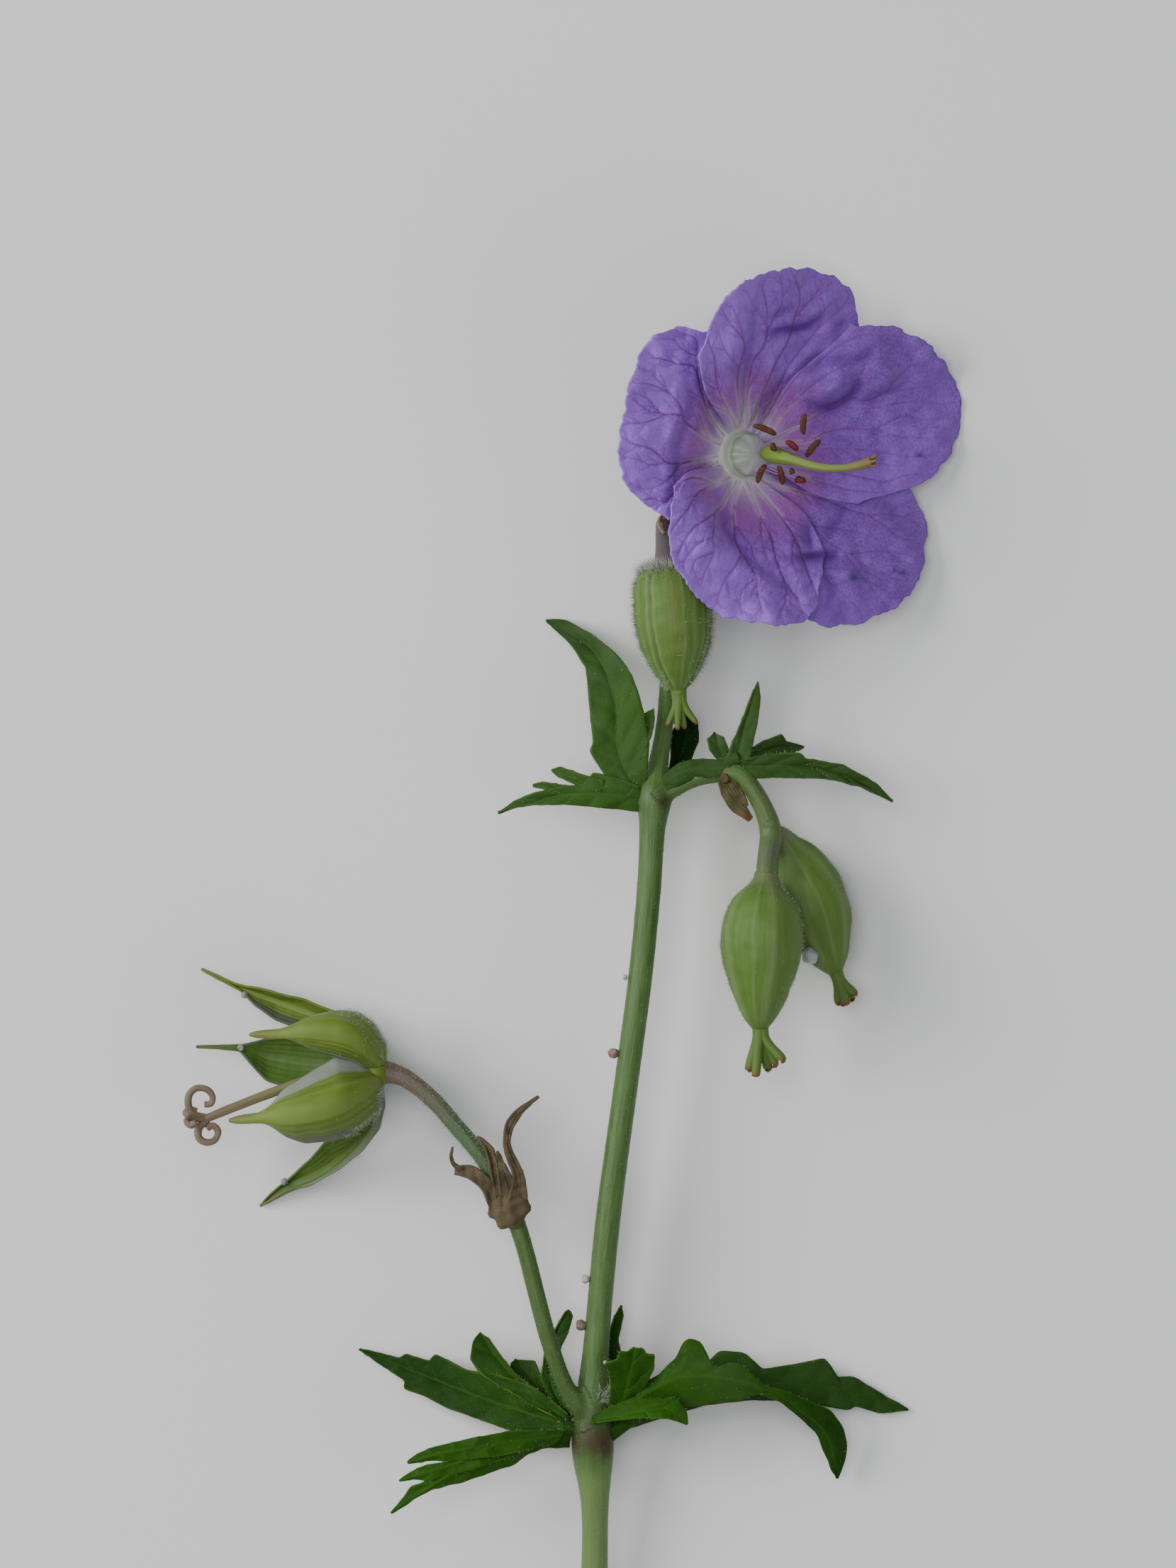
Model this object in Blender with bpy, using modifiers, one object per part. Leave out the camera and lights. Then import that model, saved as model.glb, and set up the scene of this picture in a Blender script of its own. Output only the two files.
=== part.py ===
"""Hardy geranium: one cut flowering stem that lies on a flat surface.

World units are metres, +Z up. Every size and place below is in millimetres in the
stem's own layout: X to the right of the stem, Y from the cut end towards the flower,
Z up from the surface, with X and Y zero at the lower leaf node. place() turns them into
metres and moves the middle of the plant's box to the origin.
"""
import math

import bmesh
import bpy
from mathutils import Matrix, Vector

MM = 0.001
BOX_MIDDLE_X = -1.7
BOX_MIDDLE_Y = 45.3
SURFACE = 0.0

BLADE = 0.6            # thickness of leaves, petals, sepals and bracts
ROUND = 2              # bevel resolution of the stalks
THREAD = 0             # bevel resolution of filaments, awns and stigmas
CURVE_STEPS = 2        # stations between two points of a stalk's route

# Routes are (x, y, z, radius).
MAIN_STEM = [
    (0.2, -40, 1.75, 1.75), (0.6, -22, 3.2, 1.6), (0.75, -10, 4.8, 1.55), (0.5, -3, 5.8, 2.2),
    (0.5, 1.5, 6.2, 2.1), (0.9, 9, 7, 1.5), (2.2, 23, 8, 1.45), (4.2, 38, 8.6, 1.4),
    (5.8, 50, 8.9, 1.4), (6.8, 60, 9, 1.4), (7.2, 67, 8.9, 1.5), (7.5, 71, 8.6, 2.0),
    (7.9, 74.5, 8, 1.2), (8.6, 79, 6.8, 1.0), (9, 84, 5.4, 1.0), (9.1, 92, 3.8, 1.0),
    (9.3, 100, 3, 1.1), (9.7, 103, 2.8, 1.3), (12, 106.8, 2.2, 0.9), (14, 108.9, 3.2, 0.9),
    (15.1, 109.5, 5.4, 1.0),
]
LEFT_STALK = [
    (0, 0.5, 6.3, 1.2), (-1.4, 2.5, 7.6, 1.1), (-2.9, 5, 8.4, 1.0), (-4.6, 10, 9.2, 1.0),
    (-5.8, 14.5, 9.6, 1.0), (-7.2, 20, 9.8, 1.0), (-7.9, 22.6, 9.8, 1.05),
]
FADING_STALK = [
    (-8.05, 23.15, 9.8, 1.05), (-10, 27, 9.8, 0.95), (-12.1, 30.3, 9.8, 0.95), (-14.6, 33.3, 9.6, 0.95),
    (-17.4, 36.5, 9.4, 0.95), (-20.2, 38.8, 9.2, 1.0), (-22, 39.4, 9, 1.2),
]
RIGHT_BRANCH = [
    (7.8, 71, 8.7, 1.3), (12, 73.1, 9.1, 1.15), (16.2, 73.7, 9.3, 1.3), (18.2, 72.2, 9.5, 1.1),
    (19.8, 69.5, 9.6, 1.1), (20.8, 66.6, 9.6, 1.2), (20.6, 64.2, 10.4, 0.8), (19.9, 61.2, 11.3, 0.8),
]
REAR_BUD_STALK = [
    (20.8, 66.6, 9.6, 0.8), (21.9, 67.2, 8.8, 0.75), (22.5, 66.9, 7, 0.75), (22.65, 65.75, 5.4, 0.75),
]
FRONT_BUD_STALK = [
    (9.5, 102.6, 3.2, 0.9), (8.5, 102, 5, 0.8), (8.3, 100.8, 6.8, 0.8), (8.8, 98.3, 9.2, 0.8),
]

# The open flower: its seat, its tilt towards +X, and the five petals round it.
FLOWER_SEAT = (16.5, 109.5, 7.75)
FLOWER_TILT = 33.0
PETAL_RISE = 0.42
PETAL_FLATTEN = 110.0
CLAW_RADIUS = 1.7
# name: middle and half span in degrees, rim radii across the petal, whether its clockwise and
# anticlockwise edges lie over (1) or under (-1) the next petal, where the rim bends back, how much
PETALS = {
    "petal_right": (16, 37, (14, 20.8, 24.8, 26.5, 24.8, 22.3, 18.5), 1, 1, 17, 0.02),
    "petal_top": (85, 41, (19, 22.5, 22.2, 21, 20, 17.9, 14), -1, 1, 14, 0.05),
    "petal_left": (162, 48, (15, 18.4, 19, 18.7, 18.4, 17.3, 13.6), -1, -1, 10, 0.065),
    "petal_lower_left": (254, 50, (12, 16.4, 17.9, 18.9, 19.4, 19.2, 14), 1, 1, 10, 0.065),
    "petal_lower_right": (318, 42, (16, 20.5, 23, 24.6, 24.4, 21.6, 14), -1, -1, 17, 0.03),
}
OPEN_SEPALS = (50, 125, 209, 286, 347)
# anthers: centre x, y, z and the heading of their long axis in degrees
ANTHERS = [
    (19.9, 112.2, 15, -24), (24.2, 112.9, 14, 85), (23.0, 110.9, 14.6, -37),
    (25.3, 110.3, 13.4, 48), (20.7, 111.2, 16.2, 130), (19.4, 107.2, 15.8, 60),
    (21.7, 107.2, 15, -72), (22.9, 107.2, 16.2, 20), (24.0, 106.5, 13.8, 10),
    (17.6, 106.6, 14.6, 80),
]
STYLE = [
    (19.3, 109.5, 11.9, 0.75), (20.6, 109.5, 14, 0.9), (22.2, 109.4, 15.8, 0.75),
    (24, 108.9, 17, 0.6), (26, 108.2, 17.8, 0.5), (28, 107.9, 18.3, 0.5), (30, 108, 18.7, 0.55),
    (32, 108.6, 19, 0.6),
]

# Buds: top of the calyx, end of the calyx, largest radius, length of the awns, and how blunt the
# shoulder is: 2 is round, more is blunter, less is a cone that widens from the stalk
BUDS = {
    "bud_front": ((9.2, 97.2, 10), (10.4, 82.3, 10), 4.4, 3.6, 3.0),
    "bud_middle": ((19.6, 60.6, 11.6), (19.3, 44.6, 11.6), 4.6, 4.6, 2.5),
    "bud_rear": ((22.9, 64.9, 5.1), (28.0, 50.9, 4.6), 4.2, 3.0, 1.7),
}
BUD_WIDEST = 0.42

# Blades: route of the rib (x, y, z), half widths at the teeth on the left and the right of the
# rib as seen from its base, roll in degrees (raises the right side), fold (raises both sides),
# and where given, how much of the width is left in the notch between two teeth
NOTCH = 0.62
TOOTHED = 0.94         # share of a blade's length that carries teeth
LOWER_LEFT_LEAF = [
    ([(-2.6, -0.3, 6.2), (-10, 2.2, 4.8), (-18, 5.6, 2.6), (-26.2, 8.4, 0.9)],
     (2.6, 2.4, 2.0, 1.0), (2.6, 2.6, 2.4, 0.8), 0, 0.1),
    ([(-2.6, -0.1, 6.2), (-6.4, 3.6, 5.6), (-9.6, 6.6, 4.6), (-12.4, 10.4, 3.4)],
     (1.6, 2.2, 1.0), (1.4, 1.8, 0.9), 0, 0.1),
    ([(-2.4, -0.8, 6.6), (-8.5, -2.9, 9.8), (-15.2, -5.4, 11.2), (-22.3, -10, 10.4)],
     (1.3, 1.3, 1.2, 0.8), (1.6, 1.9, 1.6, 0.7), 12, -0.15),
    ([(-5.4, -1.7, 8.4), (-11, -2.3, 10.8), (-16, -2.9, 11.6), (-20.4, -4.2, 11.2)],
     (0.9, 1.1, 0.7), (0.9, 0.9, 0.6), 8, -0.1),
    ([(-11.6, -4, 10.9), (-17, -5, 11.5), (-21.2, -6.3, 11.2)], (0.7, 0.6), (0.7, 0.6), 8, 0),
    ([(-2.4, 0.2, 6), (-4.6, 4.4, 5.2), (-4.2, 9, 5.4), (-2.6, 12.8, 5.6)],
     (1.0, 1.1, 0.6), (0.9, 1.1, 0.6), 0, 0.1),
    ([(-2.4, 0, 5.8), (-5.4, 3.8, 4.2), (-8, 7.4, 3)], (1.4, 1.0), (1.2, 1.0), 0, 0.1),
]
LOWER_RIGHT_LEAF = [
    ([(3.8, 0.2, 6.8), (5.8, 0.8, 9.4), (8.2, 1.3, 10.6), (11.4, 0.5, 10.4)],
     (1.2, 1.7, 2.0), (0.7, 0.7, 0.6), 0, 0.1),
    ([(3.9, 0.8, 6.9), (4.4, 3.4, 8.6), (4.8, 6, 9.8), (5.2, 8.6, 10.4)],
     (1.0, 1.8, 2.6), (1.0, 1.6, 2.0), 0, 0.15),
    ([(3.9, 0.6, 6.5), (6.6, 4, 9.2), (11, 6.4, 11.2), (17, 5, 11), (23, 1.8, 8.2),
      (27, -2.4, 4.6), (28.4, -6.4, 2.2)],
     (2.0, 3.0, 2.4, 2.8, 1.6), (1.4, 1.6, 1.2, 1.0, 0.8), 14, -0.3),
    ([(3.8, 0, 5.7), (12, 4, 4.4), (22, 5, 3), (30, 3.8, 1.7), (36.4, 1.4, 0.5)],
     (2.0, 2.8, 2.0, 1.2), (2.2, 2.6, 2.2, 1.4), 0, 0.1),
    ([(3.9, 0.8, 5.6), (4.2, 5, 4.6), (4.4, 9, 4.4), (3.8, 13, 4.4)],
     (1.0, 1.0, 0.8), (1.2, 1.2, 0.9), 0, 0.1),
]
UPPER_LEFT_LEAF = [
    ([(4.5, 71.9, 8.9), (3.2, 76, 9.6), (3.1, 82, 8), (0.9, 87, 4.6), (-4.8, 90.9, 0.25)],
     (2.6, 3.2, 2.3, 0.8), (2.2, 3.2, 1.9, 0.8), 0, 0.15, 0.92),
    ([(4.4, 75.4, 9.5), (5.6, 78.2, 9.8), (7.2, 81, 9.4)], (0.8, 0.6), (0.9, 0.7), 0, 0.1),
    ([(4.6, 71.4, 8.8), (0.5, 71.5, 9.8), (-4.2, 71, 9), (-10.2, 69, 7)],
     (1.4, 1.4, 1.1, 0.5), (1.6, 1.9, 0.9, 0.5), 0, 0.1),
    ([(1.4, 71.8, 9.7), (-1.4, 72.8, 9.4), (-4.2, 73.9, 8.6)], (0.6, 0.6), (0.7, 0.6), 0, 0.1),
]
UPPER_REAR_LEAF = [
    ([(9.4, 70.9, 6.4), (10.6, 74.5, 4.6), (12.6, 79.4, 3.2)], (1.5, 1.6, 1.2), (1.4, 1.5, 1.0), 0, 0.1),
]
UPPER_RIGHT_LEAF = [
    ([(16.8, 76.2, 9.5), (15.4, 77, 9.9), (14.3, 78.2, 9.8)], (0.8, 0.7), (0.8, 0.7), 0, 0),
    ([(16.9, 76.2, 9.4), (17.4, 79.2, 9.9), (19.3, 83.6, 8.6)], (1.1, 1.0, 0.6), (1.2, 1.2, 0.7), 0, 0.1, 0.85),
    ([(17, 76, 9.2), (20.3, 76.9, 8.4), (23.9, 76.9, 7)], (1.0, 1.1), (1.0, 1.1), 0, 0.1),
    ([(17, 75.8, 9.4), (22, 74.7, 9.6), (28, 73.8, 8.4), (34.4, 70.4, 6)],
     (1.0, 1.1, 1.2, 0.8), (1.1, 1.2, 1.2, 0.8), 0, 0.1),
]
LEFT_BRACTS = [
    ([(-8.4, 25.4, 11.4), (-8, 28, 12.2), (-9.2, 31.6, 12), (-8.4, 34.6, 11.4), (-5.7, 37, 10.8)],
     (0.7, 0.8, 0.6), (0.7, 0.8, 0.6), 10, 0.1, 1),
    ([(-9.2, 25.2, 11.4), (-10.6, 28.4, 12), (-11.2, 31, 11.8), (-12.4, 32.6, 11.2)],
     (0.4, 0.4), (0.4, 0.4), 0, 0, 1),
    ([(-9.4, 24.9, 11.2), (-11.8, 27.6, 11.6), (-14.8, 29, 11.2), (-15.4, 31.2, 10.6)],
     (0.8, 0.7, 0.5), (0.8, 0.7, 0.4), 0, 0.1, 1),
]
RIGHT_BRACTS = [
    ([(15.4, 72.6, 11.5), (16.4, 70.1, 11.6), (18.4, 67.8, 11.4)], (0.9, 0.9, 0.6), (0.9, 0.9, 0.6), 0, 0.1, 1),
]
TOP_BRACTS = [
    ([(8.2, 103.8, 4.6), (7.4, 103.2, 6.8), (7.8, 102, 8.4), (8.5, 100.3, 9.4)],
     (0.5, 0.5, 0.4), (0.5, 0.5, 0.4), 0, 0.1, 1),
]
FADING_SEPALS = [
    ([(-24, 41, 8), (-28.5, 45, 5.4), (-35, 47.6, 4), (-44, 51.4, 3.4)],
     (1.8, 2.8, 2.4, 1.0), (1.4, 1.8, 1.6, 0.6), 35, 0.15, 1),
    ([(-24, 40.6, 10.4), (-27.6, 44, 13.4), (-32.5, 44.6, 13.8), (-38.4, 44.1, 12.8)],
     (2.0, 3.0, 2.2, 0.5), (2.0, 2.6, 1.6, 0.5), -15, -0.15, 1),
    ([(-24.2, 40, 7.4), (-30, 40.8, 4.2), (-36.5, 41.3, 3), (-44.6, 42.7, 3.4)],
     (1.8, 3.0, 2.6, 0.6), (1.8, 3.0, 2.4, 0.6), 0, 0.2, 1),
    ([(-24, 38.6, 10.6), (-28, 36, 13.8), (-33.5, 34.8, 14.4), (-40.6, 34.4, 13.4)],
     (2.0, 2.6, 1.8, 0.5), (2.0, 3.0, 2.0, 0.5), 15, -0.15, 1),
    ([(-24, 38.4, 8), (-25.2, 33, 5.8), (-29.4, 29, 3), (-37.2, 24.4, 0.4)],
     (1.5, 1.8, 1.5, 0.6), (1.8, 2.4, 2.0, 0.6), 40, 0.1, 1),
]
FADING_COLUMN = [
    (-26.2, 39.7, 9.1, 0.9), (-28.5, 39.8, 9.2, 0.75), (-33, 38.8, 9.6, 0.62), (-38, 36.7, 10, 0.55),
    (-43.2, 34.4, 10.4, 0.5),
]
STIGMAS = [
    [(-43.2, 34.4, 10.4), (-44.9, 35.4, 10.8), (-45.2, 36.9, 11), (-44.2, 37.9, 11.1), (-43, 36.9, 11.1)],
    [(-43.2, 34.4, 10.4), (-44.3, 33.4, 10.6), (-43.7, 32.2, 10.8), (-42.6, 32, 10.8), (-41.8, 33, 10.7)],
    [(-43.2, 34.4, 10.4), (-44.8, 34.6, 11.2), (-45.3, 34.2, 12.2), (-44.6, 33.8, 13)],
    [(-43.2, 34.4, 10.4), (-44.8, 34.9, 9.8), (-45.4, 35.2, 8.8), (-44.8, 35.6, 8)],
]
STIGMA_RADIUS = 0.32

COLOURS = {
    "stem": (0.12, 0.2, 0.06),
    "stalk": (0.22, 0.18, 0.08),
    "leaf": (0.03, 0.08, 0.015),
    "petal": (0.22, 0.13, 0.42),
    "calyx": (0.16, 0.24, 0.06),
    "anther": (0.25, 0.1, 0.05),
    "style": (0.3, 0.36, 0.12),
    "bract": (0.12, 0.06, 0.035),
}


def material(name):
    """The plain surface of one colour of the plant."""
    if name in bpy.data.materials:
        return bpy.data.materials[name]
    surface = bpy.data.materials.new(name)
    surface.use_nodes = True
    shader = surface.node_tree.nodes["Principled BSDF"]
    shader.inputs["Base Color"].default_value = (*COLOURS[name], 1)
    shader.inputs["Roughness"].default_value = 0.6
    shader.inputs["Metallic"].default_value = 0
    return surface


def place(point):
    """World place in metres of a point of the layout in millimetres."""
    return Vector((point[0] - BOX_MIDDLE_X, point[1] - BOX_MIDDLE_Y, point[2] - SURFACE)) * MM


def smooth_step(value, low, high):
    """0 below low, 1 above high, and an even ramp between."""
    share = min(max((value - low) / (high - low), 0), 1)
    return share * share * (3 - 2 * share)


def along(points, share):
    """The point at a share (0 to 1) of the way along a smooth curve through the points."""
    spans = len(points) - 1
    span = min(int(share * spans), spans - 1)
    t = share * spans - span
    before = points[max(span - 1, 0)]
    start, end = points[span], points[span + 1]
    after = points[min(span + 2, spans)]
    return [
        0.5 * (2 * b + (c - a) * t + (2 * a - 5 * b + 4 * c - d) * t * t + (3 * b - a - 3 * c + d) * t ** 3)
        for a, b, c, d in zip(before, start, end, after)
    ]


def new_object(name, mesh):
    piece = bpy.data.objects.new(name, mesh)
    plant.objects.link(piece)
    return piece


def evaluated_mesh(piece):
    """A copy of the piece's mesh with its modifiers, or of its curve, in the world."""
    bpy.context.view_layer.update()
    graph = bpy.context.evaluated_depsgraph_get()
    mesh = bpy.data.meshes.new_from_object(piece.evaluated_get(graph))
    mesh.transform(piece.matrix_world)
    return mesh


def tube(name, route, steps=CURVE_STEPS, sides=ROUND):
    """A round stalk along a route of (x, y, z, radius), as a closed mesh."""
    curve = bpy.data.curves.new(name, "CURVE")
    curve.dimensions = "3D"
    curve.bevel_depth = MM
    curve.bevel_resolution = sides
    curve.use_fill_caps = True
    stations = (len(route) - 1) * steps
    spline = curve.splines.new("POLY")
    spline.points.add(stations)
    for index, point in enumerate(spline.points):
        x, y, z, radius = along(route, index / stations)
        point.co = (*place((x, y, z)), 1)
        point.radius = radius
    guide = new_object(name, curve)
    mesh = evaluated_mesh(guide)
    bpy.data.objects.remove(guide)
    body = bmesh.new()
    body.from_mesh(mesh)
    bmesh.ops.remove_doubles(body, verts=body.verts, dist=0.01 * MM)
    body.to_mesh(mesh)
    body.free()
    return new_object(name, mesh)


def sheet(name, columns, rows, shape, thickness=BLADE):
    """A thin blade laid out by shape(u, v): u from -1 to 1 across, v from 0 to 1 along."""
    grid = bmesh.new()
    bmesh.ops.create_grid(grid, x_segments=columns, y_segments=rows, size=1)
    for vertex in grid.verts:
        vertex.co = place(shape(vertex.co.x, (vertex.co.y + 1) / 2))
    bmesh.ops.triangulate(grid, faces=grid.faces)
    mesh = bpy.data.meshes.new(name)
    grid.to_mesh(mesh)
    grid.free()
    flat = new_object(name, mesh)
    wall = flat.modifiers.new("thickness", "SOLIDIFY")
    wall.thickness = thickness * MM
    wall.offset = 0
    solid = evaluated_mesh(flat)
    bpy.data.objects.remove(flat)
    return new_object(name, solid)


def ball(name, centre, radii, axis=(0, 0, 1), segments=10, rings=6):
    """A rounded body with its third radius along the axis."""
    body = bmesh.new()
    bmesh.ops.create_uvsphere(body, u_segments=segments, v_segments=rings, radius=1)
    bmesh.ops.scale(body, vec=Vector(radii) * MM, verts=body.verts)
    turn = Vector((0, 0, 1)).rotation_difference(Vector(axis)).to_matrix().to_4x4()
    bmesh.ops.transform(body, matrix=Matrix.Translation(place(centre)) @ turn, verts=body.verts)
    mesh = bpy.data.meshes.new(name)
    body.to_mesh(mesh)
    body.free()
    return new_object(name, mesh)


def finish(piece, name, colour):
    """Names one finished body of the plant and gives it its surface."""
    piece.name = name
    piece.data.name = name
    piece.data.materials.clear()
    piece.data.materials.append(material(colour))
    piece.data.shade_smooth()
    piece.data.set_sharp_from_angle(angle=math.radians(50))
    return piece


def fuse(pieces, name, colour):
    """Joins overlapping pieces in one closed body."""
    first, others = pieces[0], pieces[1:]
    joined = bpy.data.collections.new("joined")
    bpy.context.scene.collection.children.link(joined)
    for other in others:
        joined.objects.link(other)
    union = first.modifiers.new("union", "BOOLEAN")
    union.operation = "UNION"
    union.operand_type = "COLLECTION"
    union.collection = joined
    union.solver = "EXACT"
    mesh = evaluated_mesh(first)
    for piece in pieces:
        bpy.data.objects.remove(piece)
    bpy.data.collections.remove(joined)
    return finish(new_object(name, mesh), name, colour)


def edge(widths, notch, tip):
    """The (share, half width) points of one side of a blade: a notch behind each forward tooth."""
    count = len(widths)
    points = [(0, 0.4 * widths[0])]
    for index, width in enumerate(widths):
        points.append(((index + 0.8) / count * TOOTHED, width))
        if index < count - 1:
            points.append(((index + 1.05) / count * TOOTHED, notch * min(width, widths[index + 1])))
    points.append((1, tip))
    return points


def width_at(side, share):
    for (low, start), (high, end) in zip(side, side[1:]):
        if share <= high:
            return start + (end - start) * (share - low) / (high - low)
    return side[-1][1]


def blade(name, rib, left, right, roll, fold, notch=NOTCH, tip=0.25, lean=0.45):
    """A leaf lobe, sepal or bract along its rib, with the teeth leaning towards its tip."""
    sides = (edge(left, notch, tip), edge(right, notch, tip))
    shares = sorted({round(share, 4) for side in sides for share, _ in side})
    rows = len(shares) - 1
    turn = math.radians(roll)

    def shape(u, v):
        share = shares[round(v * rows)]
        width = width_at(sides[1] if u > 0 else sides[0], share) * abs(u)
        ahead = Vector(along(rib, min(share + 0.02, 1)))
        forward = (ahead - Vector(along(rib, max(share - 0.02, 0)))).normalized()
        level = forward.cross(Vector((0, 0, 1))).normalized()
        upward = level.cross(forward)
        across = level * math.cos(turn) + upward * math.sin(turn)
        facing = across.cross(forward)
        side = 1 if u > 0 else -1
        forward_lean = lean * width * (1 - smooth_step(share, 0.85, 1))
        return Vector(along(rib, share)) + across * side * width + facing * fold * width + forward * forward_lean

    return sheet(name, 2, rows, shape)


def leaf(name, stalk, lobes):
    """A palmate leaf: its short stalk and its toothed lobes, all from one point."""
    pieces = [tube(name, stalk)]
    pieces += [blade(name, *lobe) for lobe in lobes]
    return fuse(pieces, name, "leaf")


def flower_point(radius, angle, height):
    """Layout place of a point of the open flower, from its radius, angle and height over the seat."""
    tilt = math.radians(FLOWER_TILT)
    level_x, level_y = radius * math.cos(angle), radius * math.sin(angle)
    x = level_x * math.cos(tilt) + height * math.sin(tilt)
    z = height * math.cos(tilt) - level_x * math.sin(tilt)
    return Vector((FLOWER_SEAT[0] + x, FLOWER_SEAT[1] + level_y, FLOWER_SEAT[2] + z))


def petal(name, middle, half_span, rims, clockwise, anticlockwise, bend_from, bend):
    """A broad petal: a fan from its claw to its rounded, slightly bent back rim."""
    def shape(u, v):
        rim = along([(r,) for r in rims], (u + 1) / 2)[0]
        radius = CLAW_RADIUS + (rim - CLAW_RADIUS) * v
        spread = 0.5 + 0.5 * smooth_step(radius, 2, 11)
        angle = math.radians(middle + u * half_span * spread)
        order = anticlockwise if u > 0 else clockwise
        layer = 0.75 * order * smooth_step(abs(u), 0.1, 0.45) * smooth_step(radius, 2, 5)
        rise = PETAL_RISE * radius * (1 - radius / PETAL_FLATTEN)
        flat_side = 1 - smooth_step(u, 0, 0.5) if anticlockwise > 0 else 1
        back = bend * max(radius - bend_from, 0) ** 1.6 * flat_side
        return flower_point(radius, angle, rise + layer - back)

    return finish(sheet(name, 12, 10, shape), name, "petal")


def open_calyx():
    """The receptacle behind the petals and its five spreading, awned sepals."""
    seat = flower_point(0, 0, -0.95)
    axis = flower_point(0, 0, 1) - flower_point(0, 0, 0)
    pieces = [ball("open_calyx", seat, (1.9, 1.9, 0.95), axis)]
    for degrees in OPEN_SEPALS:
        angle = math.radians(degrees)
        rib = [flower_point(r, angle, h) for r, h in ((1, -0.9), (4.5, -0.95), (9, -0.3), (13.4, 0.2))]
        pieces.append(blade("sepal", rib, (1.8, 2.3, 1.3), (1.8, 2.3, 1.3), 0, 0.12, 1, 0.25, 0))
    return fuse(pieces, "open_calyx", "calyx")


def stamens():
    """The pale dome over the ovary and the ten filaments with their anthers."""
    axis = flower_point(0, 0, 1) - flower_point(0, 0, 0)
    middle = flower_point(0, 0, 3.1)
    foot = [(*flower_point(0, 0, h), r) for h, r in ((0.35, 1.0), (2.2, 1.15))]
    pieces = [ball("stamens", middle, (2.5, 2.5, 1.5), axis), tube("foot", foot, 1)]
    for x, y, z, heading in ANTHERS:
        centre = Vector((x, y, z))
        outward = centre - middle
        lateral = (outward - axis * outward.dot(axis)).normalized()
        root = middle + lateral * 1.8 + axis * 0.5
        bow = (root + centre) / 2 + lateral * 0.5
        pieces.append(tube("filament", [(*root, 0.5), (*bow, 0.35), (*centre, 0.3)], 1, THREAD))
        turn = math.radians(heading)
        direction = (math.cos(turn), math.sin(turn), 0)
        pieces.append(ball("anther", centre, (0.4, 0.4, 1.25), direction, 6, 5))
    return fuse(pieces, "stamens", "anther")


def bud_radius(share, widest, blunt):
    """Radius of a closed calyx at a share of its length: its shoulder, then the tapering end."""
    if share < BUD_WIDEST:
        return widest * (1 - ((BUD_WIDEST - share) / BUD_WIDEST) ** blunt) ** (1 / blunt)
    return widest * max(math.cos(math.pi / 2 * (share - BUD_WIDEST) / (1 - BUD_WIDEST)), 0)


def bud(name, top, end, widest, awn, blunt):
    """A nodding bud: five ribbed sepals closed over the petals, with their awns together."""
    top, end = Vector(top), Vector(end)
    axis = (end - top).normalized()
    across = axis.orthogonal().normalized()
    around = axis.cross(across)
    length = (end - top).length
    body = bmesh.new()
    bmesh.ops.create_uvsphere(body, u_segments=20, v_segments=14, radius=1)
    for vertex in body.verts:
        share = math.acos(min(max(vertex.co.z, -1), 1)) / math.pi
        turn = math.atan2(vertex.co.y, vertex.co.x)
        radius = bud_radius(share, widest, blunt) * (0.94 + 0.06 * abs(math.cos(2.5 * turn)))
        if 0 < share < 1:
            radius = max(radius, 0.7)
        flat = across * math.cos(turn) + around * math.sin(turn)
        pole = abs(vertex.co.z) > 0.9999
        vertex.co = place(top + axis * length * share + (Vector() if pole else flat * radius))
    mesh = bpy.data.meshes.new(name)
    body.to_mesh(mesh)
    body.free()
    mesh_body = new_object(name, mesh)
    bmesh_fix_normals(mesh_body)
    pieces = [mesh_body]
    for index in range(5):
        turn = 2 * math.pi * index / 5
        flat = across * math.cos(turn) + around * math.sin(turn)
        root = end - axis * 1.6 + flat * 0.35
        tip = end + axis * awn + flat * 0.9
        pieces.append(tube("awn", [(*root, 0.4), (*((root + tip) / 2), 0.32), (*tip, 0.22)], 1, THREAD))
    return fuse(pieces, name, "calyx")


def bmesh_fix_normals(piece):
    body = bmesh.new()
    body.from_mesh(piece.data)
    bmesh.ops.recalc_face_normals(body, faces=body.faces)
    body.to_mesh(piece.data)
    body.free()


def bracts(name, centre, radii, blades):
    """Dry bracts: narrow papery blades from one knot."""
    pieces = [ball(name, centre, radii)]
    pieces += [blade("bract", *item, 0.25, 0) for item in blades]
    return fuse(pieces, name, "bract")


def fading_flower():
    """Calyx that has opened round its beak column, on the left stalk."""
    pieces = [ball("fading_calyx", (-24, 39.8, 9), (1.6, 1.9, 1.9))]
    pieces += [blade("sepal", *item, 0.3, 0) for item in FADING_SEPALS]
    return fuse(pieces, "fading_calyx", "calyx")


def fading_column():
    pieces = [tube("fading_column", FADING_COLUMN)]
    for stigma in STIGMAS:
        pieces.append(tube("stigma", [(*point, STIGMA_RADIUS) for point in stigma], 2, THREAD))
    return fuse(pieces, "fading_column", "bract")


for old in list(bpy.data.objects):
    bpy.data.objects.remove(old)
plant = bpy.data.collections.new("hardy_geranium")
bpy.context.scene.collection.children.link(plant)

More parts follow.
